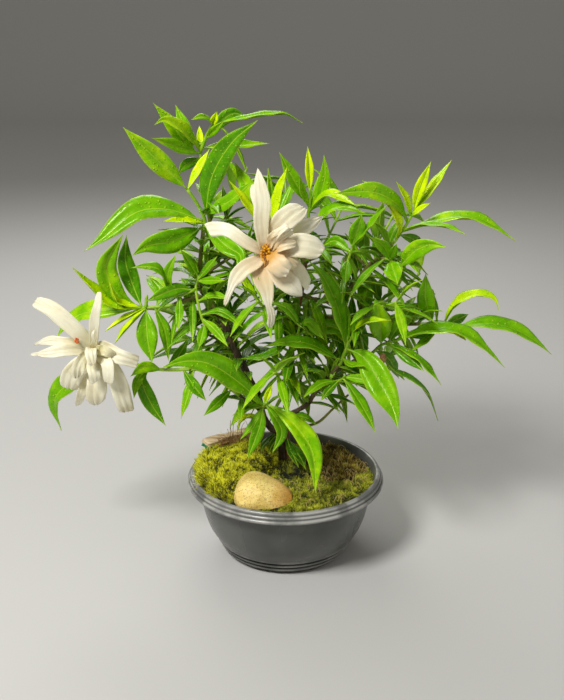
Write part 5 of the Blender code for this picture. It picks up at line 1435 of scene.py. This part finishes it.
def scattered(name, template, spots):
    """Copies of a small shape as one mesh: each spot is a place, a turning and scale, and a tone."""
    shape = corners_of(template) * MM
    faces = [tuple(face.vertices) for face in template.data.polygons]
    sides = np.concatenate([np.array(face) for face in faces])
    sizes = np.array([len(face) for face in faces])
    corners = np.concatenate([shape @ np.array(turn).T + np.array(at) for at, turn, _tone in spots])
    loops = np.concatenate([sides + number * len(shape) for number in range(len(spots))])
    mesh = bpy.data.meshes.new(name)
    mesh.vertices.add(len(corners))
    mesh.vertices.foreach_set("co", (corners * MM).astype(np.float32).ravel())
    mesh.loops.add(len(loops))
    mesh.loops.foreach_set("vertex_index", loops.astype(np.int32))
    mesh.polygons.add(len(faces) * len(spots))
    starts = np.concatenate(([0], np.cumsum(np.tile(sizes, len(spots)))[:-1]))
    mesh.polygons.foreach_set("loop_start", starts.astype(np.int32))
    mesh.update(calc_edges=True)
    made = bpy.data.objects.new(name, mesh)
    bpy.context.scene.collection.objects.link(made)
    foot = (shape[:, 2] - shape[:, 2].min()) / max(np.ptp(shape[:, 2]), 1e-9)
    tones = np.concatenate([tone * (0.25 + 0.75 * foot) for _at, _turn, tone in spots])
    set_values(made, "tone", tones)
    return made


def moss_stalks(name, draw):
    """Dry stalks and straw by the wood strip, and loose strands over the other patches."""
    lines = []
    if name == "moss_bright":
        for stalk in range(150):
            x = draw.uniform(-52, -24) if stalk < 8 else -36 - 18 * draw.random() ** 0.8
            y = 0.67 * (x + 66) + draw.uniform(6, 16)
            foot = Vector((x, y, moss_top(x, y)))
            tall = draw.uniform(16, 26) if stalk < 8 else draw.uniform(1, 6)
            wide = 3 if stalk < 8 else 7
            tip = foot + Vector((draw.uniform(-wide, wide), draw.uniform(-4, 2), tall))
            bend = foot.lerp(tip, 0.6) + Vector((draw.uniform(-1.5, 1.5), -1, 0.15 * tall))
            lines.append((spline([foot, bend, tip], 3), taper(0.26, 0.16, 7)))
    else:
        count, *span = (90, -0.5, 1.2) if name == "moss_brown" else (70, -1.9, 0.5)
        for _strand in range(count):
            angle = draw.uniform(*span)
            foot = moss_spot(angle, draw.uniform(0.3, 0.95))
            turn = draw.uniform(0, 6.28)
            reach = draw.uniform(4, 9)
            out = Vector((math.cos(turn), math.sin(turn), 0)) * reach
            top = foot + out * 0.5 + UP * draw.uniform(2.5, 5.5)
            lines.append((spline([foot - UP, top, foot + out + UP * 0.5], 3), taper(0.24, 0.16, 7)))
    return lines


def solid_tree(source):
    """A mesh, to test places against."""
    corners = [vert.co / MM for vert in source.vertices]
    return BVHTree.FromPolygons(corners, [tuple(face.vertices) for face in source.polygons])


def covered(trees, point, margin):
    """Whether a point lies in one of the solids or nearer to it than the margin."""
    for tree in trees:
        nearest, normal, _face, far = tree.find_nearest(point)
        if far < margin or (point - nearest).dot(normal) < 0:
            return True
    return False


def moss_spots(draw, blocked, shoot):
    """Where each patch's shoots stand: place, turning with scale, and tone."""
    spots = {name: [] for name in SHOOTS}
    for _try in range(3 * sum(number for number, _size, _light in SHOOTS.values())):
        angle = draw.uniform(-math.pi, math.pi)
        share = math.sqrt(draw.random())
        at = moss_spot(angle, share)
        name = moss_patch(at.x, at.y)
        number, size, light = SHOOTS[name]
        if len(spots[name]) >= number or covered(blocked, at, BEFORE if at.y < STONE_FRONT else BESIDE):
            continue
        clump = clamp(0.5 + 0.9 * noise.noise(Vector((at.x, at.y, 3.0)) / 7.0))
        speck = noise.noise(Vector((at.x, at.y, 9.0)) / 1.6)
        tall = shoot * size * (0.6 + 0.5 * clump + 0.3 * speck) * draw.uniform(0.6, 1.4)
        tilt = draw.uniform(0, 0.95)
        lean = Matrix.Rotation(tilt, 3, Vector((draw.gauss(0, 1), draw.gauss(0, 1), 0)).normalized())
        slope = 0.0 if share < 0.9 else 0.5
        # Painted shade on the moss between the trunks
        shade = swell(at.x, at.y, PAINTED_MIDDLE_SHADE)
        if name == "moss_bright":
            # Painted shade towards the front of the bright patch
            shade += 0.25 * clamp(-(at.y + 8) / 35)
            if share > 0.87:
                slope = 0.75
                tall *= 2.3
        outward = Matrix.Rotation(slope, 3, Vector((-math.sin(angle), math.cos(angle), 0)))
        turn = outward @ lean @ Matrix.Rotation(draw.uniform(0, 6.28), 3, "Z")
        wide = 1.7 * (1.25 + draw.uniform(-0.3, 0.5))
        # Some shoots get a painted glint, and some the painted shade of the gaps between clumps
        chance = draw.random()
        painted_glint_and_gap = 0.7 if chance > 0.84 else -0.5 if chance < 0.34 else 0.05
        tone = clamp(light + 0.7 * clump + 0.6 * speck - shade + painted_glint_and_gap)
        spots[name].append((at - UP * 0.9, turn @ Matrix.Diagonal((wide, wide, tall)), tone))
    return spots


class GARDENIA_OT_moss(bpy.types.Operator):
    """Grows the three patches of moss: a bed with thousands of small shoots on it"""

    bl_idname = "gardenia.moss"
    bl_label = "Moss"

    def execute(self, context):
        looks = context.scene.gardenia_moss
        draw = random.Random(looks.seed)
        shoot = shoot_template()
        blocked = [solid_tree(bpy.data.objects["pebble"].data), solid_tree(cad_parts["wood_strip"].data)]
        spots = moss_spots(draw, blocked, looks.shoot / MM)
        # Mosses: matted cushions, yellow-green with painted sunlight, darker green, and half-dry brown; the
        # lightest end of each also gives the painted glints
        for name, finish, *codes in (
                ("moss_bright", "cushion_moss", "#3a3a04", "#f0ee12", "#ffff58"),
                ("moss_dark", "wet_dark_moss", "#1a1e04", "#a6ac14", "#f2f04c"),
                ("moss_brown", "half_dry_moss", "#180e04", "#846814", "#e4d658")):
            bed = moss_bed(name)
            set_values(bed, "tone", 0.05)
            tufts = scattered(name + "_tufts", shoot, spots[name])
            stalks = tubes(name + "_stalks", moss_stalks(name, draw), 4)
            patchy = 0.6 + 0.5 * np.sin(7 * corners_of(stalks)[:, 0])
            set_values(stalks, "tone", -1.0 - patchy * (name == "moss_bright"))
            made = joined(name + "_cushion", [bed, tufts, stalks])
            alone(made)
            bpy.ops.object.shade_flat()
            finish_piece(made, [name], moss_finish(finish, *(colour(code) for code in codes)))
        bpy.data.objects.remove(shoot)
        return {"FINISHED"}


class GARDENIA_OT_stone(bpy.types.Operator):
    """Makes the egg-shaped ochre pebble"""

    bl_idname = "gardenia.stone"
    bl_label = "Stone"

    def execute(self, context):
        deselect()
        bpy.ops.mesh.primitive_ico_sphere_add(subdivisions=6, radius=1.0, location=(0, 0, 0))
        made = context.active_object
        made.name = "pebble"
        down, swung = (math.radians(angle) for angle in STONE_LEAN)
        lean = Matrix.Rotation(swung, 3, "Z") @ Matrix.Rotation(down, 3, "Y")
        sides = [(Vector(side).normalized(), reach) for *side, reach in FACETS]
        spots = []
        for x, y, z in corners_of(made) * MM:
            blunt = (abs(x) ** 2.6 + abs(y) ** 2.6 + abs(z) ** 2.6) ** (-1 / 2.6)
            x, y, z = (value * blunt * 0.97 for value in (x, y, z))
            slim = 1 - 0.3 * x
            low = 0.86 if z < 0 else 1.0
            way = Vector((x, y, z)).normalized()
            flats = [reach / way.dot(side) for side, reach in sides if way.dot(side) > 0.3]
            cut = min(1.0, min(flats, default=1.0) / Vector((x, y, z)).length)
            dent = (0.5 + 0.5 * cut) * (1 + 0.03 * noise.noise(way * 1.6) + 0.01 * noise.noise(way * 6))
            spot = Vector((x * STONE_HALF[0], y * STONE_HALF[1] * slim, z * STONE_HALF[2] * slim * low))
            spots.append(lean @ (spot * dent) + Vector(STONE_AT))
        set_corners(made, spots)
        bpy.ops.object.shade_smooth()
        # River pebble: fine-grained ochre sandstone, water-worn, with clouds about 17 mm across
        finish = mottled_finish("ochre_sandstone", 60.0, colour("#d8b654"), colour("#fbe28c"), 0.55, 0.0008,
                                over=rusty_end)
        finish_piece(made, ["stone"], finish)
        return {"FINISHED"}


class GARDENIA_OT_wood_strip(bpy.types.Operator):
    """Makes the strip of weathered sawn wood"""

    bl_idname = "gardenia.wood_strip"
    bl_label = "Wood strip"

    def execute(self, context):
        start, end = (Vector(point) for point in WOOD_ENDS)
        wide, deep = WOOD_SECTION
        along = (end - start).normalized()
        across = along.cross(UP).normalized()
        up = across.cross(along)
        deselect()
        bpy.ops.mesh.primitive_cube_add(size=1.0, location=(0, 0, 0))
        made = context.active_object
        made.name = "weathered_strip"
        bpy.ops.object.mode_set(mode="EDIT")
        bpy.ops.mesh.select_all(action="SELECT")
        bpy.ops.mesh.bevel(offset=0.02, segments=1)
        bpy.ops.mesh.subdivide(number_cuts=5)
        bpy.ops.mesh.subdivide(number_cuts=2)
        leave_edit()
        shares = corners_of(made) * MM
        set_values(made, "sawn", np.clip((-0.42 - shares[:, 0]) / 0.05, 0, 1))
        set_values(made, "stain", (shares[:, 0] < -0.36) & (shares[:, 2] < 0.05))
        spots = []
        for x, y, z in shares:
            slim = 1 - 0.16 * (x + 0.5)
            bow = 1.2 * math.cos(math.pi * x) + 0.5 * math.sin(9 * x + 3 * y)
            groove = 0.35 * noise.noise(Vector((x * 3, y * 9, z * 6)))
            ragged = 0.9 * noise.noise(Vector((y * 5, z * 5, 4.0))) * (2 * abs(x)) ** 8
            spot = along * (x * (end - start).length + ragged) + across * (y * (wide + groove) * slim)
            spots.append((start + end) / 2 + spot + up * (z * (deep + groove) * slim + bow))
        set_corners(made, spots)
        alone(made)
        bpy.ops.object.shade_smooth_by_angle(angle=math.radians(30))
        # Softwood left outdoors: bleached, its grain standing out as ridges about 3 mm apart
        finish = mottled_finish(
            "weathered_softwood", 340.0, colour("#8e6436"), colour("#fae2b2"), 0.85, 0.0009,
            (0.12, 1.0, 1.0), -math.atan2(along.y, along.x), sawn_end)
        finish_piece(made, ["wood_strip"], finish)
        return {"FINISHED"}


class GARDENIA_OT_woody_frame(bpy.types.Operator):
    """Makes the two trunks, the root crown and the branches, with bark"""

    bl_idname = "gardenia.woody_frame"
    bl_label = "Trunks and branches"

    def execute(self, context):
        draw = random.Random(3)
        thick, reddish, thin, bare = [], [], [], []
        for name, (start, end, line) in frame_routes().items():
            smooth = spline(line, 6)
            knots = [radius * (1 + 0.10 * noise.noise(point / 7.0) + 0.05 * draw.uniform(-1, 1))
                     for radius, point in zip(taper(start, end, len(smooth)), smooth)]
            if name.startswith("trunk"):
                knots = [knot * (0.88 + 0.5 * math.exp(-max(0.0, point.z - 58) / 8))
                         for knot, point in zip(knots, smooth)]
            else:
                knots[0] *= 1.35
            group = {"trunk_a": thick, "trunk_b": reddish, "bare_twig": bare}.get(name, thin)
            group.append((smooth, knots))
        heights, radii = zip(*CROWN_RADII)
        thick.append(([Vector((*CROWN_AT, height)) for height in heights], radii))
        for turn, reach in ROOT_FLARES:
            out = Vector((math.cos(turn), math.sin(turn), 0))
            foot = Vector((*CROWN_AT, 66.0))
            line = [foot, foot + out * reach * 0.5 - UP * 3, foot + out * reach - UP * 9]
            thick.append((spline(line, 4), taper(3.0, 1.4, 9)))
        parts = []
        for lines, sides, red in ((thick, 12, 0.0), (reddish, 12, 1.0), (thin, 8, 0.0), (bare, 8, 0.0)):
            part = tubes("branches", lines, sides)
            grown = np.clip((corners_of(part)[:, 2] - 110) / 110, 0, 1) * (lines is thin)
            set_values(part, "red", red)
            set_values(part, "green", 1.35 if lines is bare else grown)
            parts.append(part)
        # Gardenia bark: thin, grey-brown, with fine upright cracks 2 to 3 mm apart, greener on young branches
        finish = mottled_finish("gardenia_bark", 420.0, colour("#241a12"), colour("#6e5842"), 0.85, 0.0008,
                                (1.0, 1.0, 0.3), over=bark_ages)
        finish_piece(joined("bark_frame", parts), ["woody_frame"], finish)
        return {"FINISHED"}


def leafy_piece(name, node, stem, blades, form, draw):
    """One stem with its leaves, stalks and midribs as one piece. A stem is its radius and its lines."""
    radius, lines = stem
    smooth = [spline(line, 5) for line in lines]
    stems = [(line, taper(radius, radius * 0.8, len(line))) for line in smooth]
    wood = tubes(name, stems + [rib_line(blade) for blade in blades], 6)
    set_values(wood, "tone", 0.6)
    for finish in form.template.data.materials:
        wood.data.materials.append(finish)
    for face in wood.data.polygons:
        face.material_index = 2
    parts = []
    for number, blade in enumerate(blades):
        toned = blade._replace(tone=clamp(blade.tone + draw.uniform(-0.1, 0.1)))
        parts.append(shaped_blade(form, toned, f"{name}_{number}", leaf_section(toned, draw)))
    finish_piece(joined(name, [*parts, wood]), node)


class GARDENIA_OT_leaves(bpy.types.Operator):
    """Dresses every leafy stem with folded, veined leaves on their stalks"""

    bl_idname = "gardenia.leaves"
    bl_label = "Leaves"

    def execute(self, context):
        looks = context.scene.gardenia_leaf
        finishes = (leaf_finish(looks, "gardenia_leaf"), leaf_finish(looks, "gardenia_leaf_underside", True),
                    stem_finish(looks))
        draw = random.Random(21)
        stems = stem_routes(frame_routes())
        fine = BladeForm("leaf_blade", 6, 18, 1.25, finishes)
        plain = BladeForm("filling_blade", 4, 9, 1.25, finishes)
        leaves = {name: named_leaves(name, stems[name][1]) for name in LEAVES}
        leaves.update(filling_leaves(stems))
        for name, blades in leaves.items():
            form = fine if name in LEAVES else plain
            leafy_piece(name + "_foliage", [name + "_leaves"], stems[name], blades, form, draw)
        bpy.data.objects.remove(fine.template)
        bpy.data.objects.remove(plain.template)
        return {"FINISHED"}


def hides_bud(point):
    """Whether a point is seen over the dried bud or close beside it."""
    x, z = seen_at(point)
    return math.hypot(x - DRY_BUD[0][0], z - DRY_BUD[0][1]) < BUD_CLEAR


def inner_leaves(draw):
    """Small leaves in opposite pairs along the branches, where the plant is dense."""
    blades = [read_blade(place(*root), TOUCH + 1, row, 0) for root, *row in BASE_LEAVES]
    near, far = INNER_DEPTH
    for name, (_start, _end, line) in frame_routes().items():
        if name in ("bare_twig", "thin_twig"):
            continue
        smooth = spline(line, 5)
        whole = sum((b - a).length for a, b in zip(smooth, smooth[1:]))
        count = max(2, int(whole / INNER_STEP))
        for number in range(count):
            share = (number + draw.random()) / count
            index = min(int(share * (len(smooth) - 1)), len(smooth) - 2)
            root = smooth[index].lerp(smooth[index + 1], share * (len(smooth) - 1) - index)
            if root.z < (150 if name.startswith("trunk") else 118):
                continue
            along = (smooth[index + 1] - smooth[index]).normalized()
            first = draw.uniform(0, 2 * math.pi)
            for side in range(2):
                size = draw.uniform(*INNER_LEAF)
                lean = math.radians(draw.uniform(45, 85))
                route = fill_route(root, along, first + math.pi * side, size, lean)
                clear = all(inside_outline(point) and not hides_bud(point) for point in route)
                if clear and near < route[-1].y < far:
                    blades.append(upward_leaf(route, size * 0.2, draw.uniform(0.12, 0.7)))
    return blades


class GARDENIA_OT_inner_leaves(bpy.types.Operator):
    """Fills the plant's inside with small leaves on the branches"""

    bl_idname = "gardenia.inner_leaves"
    bl_label = "Inner leaves"

    def execute(self, context):
        names = ("gardenia_leaf", "gardenia_leaf_underside", "gardenia_green_stem")
        small = BladeForm("inner_blade", 4, 7, 1.25, [bpy.data.materials[name] for name in names])
        draw = random.Random(context.scene.gardenia_leaf.seed)
        blades = inner_leaves(draw)
        for side, name in enumerate(("inner_left_foliage", "inner_right_foliage")):
            mine = [blade for blade in blades if (blade.route[0].x > 0) == bool(side)]
            leafy_piece(name, (), (0.0, []), mine, small, draw)
        bpy.data.objects.remove(small.template)
        return {"FINISHED"}


class GARDENIA_OT_blooms(bpy.types.Operator):
    """Makes the two blooms: layered petals round a small cup"""

    bl_idname = "gardenia.blooms"
    bl_label = "Blooms"

    def execute(self, context):
        looks = context.scene.gardenia_bloom
        draw = random.Random(8)
        tints = {"top_bloom": looks.flush, "left_bloom": looks.green}
        for name, (throat, *rows) in BLOOMS.items():
            finish = petal_finish(looks, "gardenia_petal_" + name, tints[name])
            form = BladeForm("petal_blade", 10, 26, 1.35, [finish])
            parts = []
            for number, row in enumerate(rows):
                blade = read_petal(throat, row)
                parts.append(shaped_blade(form, blade, f"{name}_{number}", petal_section(blade, draw)))
            bpy.data.objects.remove(form.template)
            deselect()
            bpy.ops.mesh.primitive_uv_sphere_add(segments=20, ring_count=12, radius=1.0, location=(0, 0, 0))
            cup = context.active_object
            cup.location = (place(*throat) + Vector((0, 2.5, 0))) * MM
            cup.scale = (2.6 * MM, 2.6 * MM, 4.0 * MM)
            bpy.ops.object.transform_apply(location=True, rotation=True, scale=True)
            cup.data.materials.append(finish)
            bpy.ops.object.shade_smooth()
            finish_piece(joined(name + "_corolla", [cup, *parts]), [name + "_petals"])
        return {"FINISHED"}


class GARDENIA_OT_bloom_centres(bpy.types.Operator):
    """Makes the golden stamens and the pistil in each bloom's throat"""

    bl_idname = "gardenia.bloom_centres"
    bl_label = "Bloom centres"
    # Makes the golden stamens and the pistil in the top bloom's throat, and withered stamens in the left
    # bloom

    def execute(self, context):
        looks = context.scene.gardenia_bloom
        draw = random.Random(4)
        # Stamens: soft pollen-dusted anthers, matte gold mottled with a brown that is painted throat shade,
        # orange where withered.
        # Pollen is too fine to show, so its mottling is drawn 2 to 3 mm across.
        fresh = mottled_finish("pollen_gold", 300.0, looks.throat_shade, looks.gold, 0.8, 0.0004)
        withered = mottled_finish("withered_pollen", 500.0, colour("#b8431a"), colour("#ea8a45"), 0.8, 0.0004)
        # The pistil is painted dark brown as the shade deep in the throat
        brown = mottled_finish("dried_pistil", 500.0, looks.throat_shade, colour("#5c2e0c"), 0.7, 0.0004)
        spot = place(*WITHERED_SPOT)
        for name, (throat, *_rows) in BLOOMS.items():
            middle = place(*throat) + Vector((0, -3.0, 0))
            golden = name == "top_bloom"
            lines = []
            for number in range(22 if golden else 7):
                turn = number * 2.4
                far = 0.25 + 0.75 * math.sqrt(number / 21)
                if golden:
                    foot = middle
                    side = 4.0 * far * math.cos(turn)
                    tip = middle + Vector((side, -draw.uniform(4, 8), 1.5 + 7.0 * far * math.sin(turn)))
                else:
                    foot = spot + Vector((0.6, 3.0, -0.5))
                    side = 2.2 * far * math.cos(turn)
                    tip = spot + Vector((side, -draw.uniform(0, 1.2), 2.6 * far * math.sin(turn)))
                bend = foot.lerp(tip, 0.5) + Vector((0, 0.5, 0))
                lines.append((spline([foot, bend, tip], 3), [0.3, 0.22, 0.2, 0.2, 0.4, 1.1, 0.5]))
            made = tubes(name + "_stamens", lines, 8)
            made.data.materials.append(fresh if golden else withered)
            if golden:
                steps = ((-0.8, -12, 0.5), (0.2, -15, -2), (-0.6, -17, -5.5))
                bent = spline([middle + Vector(step) for step in steps], 4)
                pistil = tubes(name + "_pistil", [(bent, taper(1.1, 0.5, 9))], 8)
                pistil.data.materials.append(brown)
                made = joined(name + "_stamens", [made, pistil])
            finish_piece(made, [name + "_centre"])
        return {"FINISHED"}


class GARDENIA_OT_dried_bud(bpy.types.Operator):
    """Makes the dried bud under the right middle stem"""

    bl_idname = "gardenia.dried_bud"
    bl_label = "Dried bud"

    def execute(self, context):
        reading, half_x, half_z = DRY_BUD
        deselect()
        bpy.ops.mesh.primitive_uv_sphere_add(segments=20, ring_count=14, radius=1.0, location=(0, 0, 0))
        made = context.active_object
        made.name = "withered_bud"
        spots = []
        for x, y, z in corners_of(made) * MM:
            turn = math.atan2(y, x) + 0.8 * z
            crease = 1 - 0.16 * abs(math.sin(2.5 * turn)) + 0.06 * noise.noise(Vector((x, y, z)) * 3)
            half = half_x * crease * (1 - 0.25 * max(0.0, -z))
            spots.append(place(*reading) + Vector((x * half, y * half, z * half_z)))
        set_corners(made, spots)
        bpy.ops.object.shade_smooth()
        # Withered bud: papery, creased, tan to brown in patches about 3 mm across
        finish = mottled_finish("withered_bud", 330.0, colour("#5e3a1e"), colour("#d2a06c"), 0.85, 0.0006)
        finish_piece(made, ["dried_bud"], finish)
        return {"FINISHED"}


class GARDENIA_OT_stage(bpy.types.Operator):
    """Sets the pale floor and backdrop, the soft studio light and the camera"""

    bl_idname = "gardenia.stage"
    bl_label = "Stage"

    def execute(self, context):
        looks = context.scene.gardenia_stage
        scene = context.scene
        deselect()
        bpy.ops.mesh.primitive_plane_add(size=8.0, location=(0, 0, 0))
        floor = context.active_object
        floor.name = "floor"
        edit(floor)
        bpy.ops.mesh.select_mode(type="EDGE")
        leave_edit()
        for edge in floor.data.edges:
            edge.select = all(floor.data.vertices[i].co.y > 1.0 for i in edge.vertices)
        bpy.ops.object.mode_set(mode="EDIT")
        bpy.ops.mesh.extrude_region_move(TRANSFORM_OT_translate={"value": (0, 0, 3.5)})
        leave_edit()
        modify(floor, "BEVEL", width=1.2, segments=24, limit_method="ANGLE")
        bpy.ops.object.shade_smooth()
        # Studio paper: matte and even
        floor.data.materials.append(new_finish("studio_paper", Roughness=0.9, Base_Color=looks.floor)[0])

        for name, (spot, size, share) in LIGHTS.items():
            bpy.ops.object.light_add(type="AREA", location=spot)
            light = context.active_object
            light.name = name
            light.data.shape = "DISK"
            light.data.size = size
            light.data.energy = looks.power * share
            light.rotation_euler = (Vector((0, 0, 0.18)) - Vector(spot)).to_track_quat("-Z", "Y").to_euler()
        scene.world = bpy.data.worlds.new("studio")
        scene.world.use_nodes = True
        air = scene.world.node_tree
        fill_inputs(air, air.nodes["Background"], {"Color": (1.0, 0.99, 0.94, 1.0), "Strength": 0.23})

        bpy.ops.object.camera_add(location=EYE * MM, rotation=(math.radians(90 - CAMERA_PITCH), 0, 0))
        camera = context.active_object
        camera.data.sensor_fit = "VERTICAL"
        camera.data.sensor_height = SENSOR
        camera.data.sensor_width = SENSOR
        camera.data.lens = SENSOR * FOCAL_PIXELS / PICTURE[1]
        camera.data.clip_start = 0.01
        scene.camera = camera
        scene.view_settings.view_transform = "Standard"
        return {"FINISHED"}


class GARDENIA_PT_pieces(bpy.types.Panel):
    """Lists the pieces in the order in which they are made."""

    bl_idname = "GARDENIA_PT_pieces"
    bl_label = "Gardenia bonsai"
    bl_space_type = "VIEW_3D"
    bl_region_type = "UI"
    bl_category = "Gardenia"

    def draw(self, context):
        for piece in PIECES:
            self.layout.operator(piece.bl_idname)
        for group, _kind in GROUPS:
            box = self.layout.box()
            settings = getattr(context.scene, group)
            for name in settings.__annotations__:
                box.prop(settings, name)


GROUPS = (
    ("gardenia_pot", GardeniaPot),
    ("gardenia_moss", GardeniaMoss),
    ("gardenia_leaf", GardeniaLeaf),
    ("gardenia_bloom", GardeniaBloom),
    ("gardenia_stage", GardeniaStage),
)
PIECES = (
    GARDENIA_OT_pot,
    GARDENIA_OT_soil,
    GARDENIA_OT_stone,
    GARDENIA_OT_wood_strip,
    GARDENIA_OT_woody_frame,
    GARDENIA_OT_moss,
    GARDENIA_OT_leaves,
    GARDENIA_OT_inner_leaves,
    GARDENIA_OT_blooms,
    GARDENIA_OT_bloom_centres,
    GARDENIA_OT_dried_bud,
    GARDENIA_OT_stage,
)


def register():
    for group, kind in GROUPS:
        bpy.utils.register_class(kind)
        setattr(bpy.types.Scene, group, bpy.props.PointerProperty(type=kind))
    for piece in PIECES:
        bpy.utils.register_class(piece)
    bpy.utils.register_class(GARDENIA_PT_pieces)


def unregister():
    bpy.utils.unregister_class(GARDENIA_PT_pieces)
    for piece in reversed(PIECES):
        bpy.utils.unregister_class(piece)
    for group, kind in reversed(GROUPS):
        delattr(bpy.types.Scene, group)
        bpy.utils.unregister_class(kind)


def main():
    register()
    for piece in PIECES:
        group, name = piece.bl_idname.split(".")
        getattr(getattr(bpy.ops, group), name)()


if __name__ == "__main__":
    main()
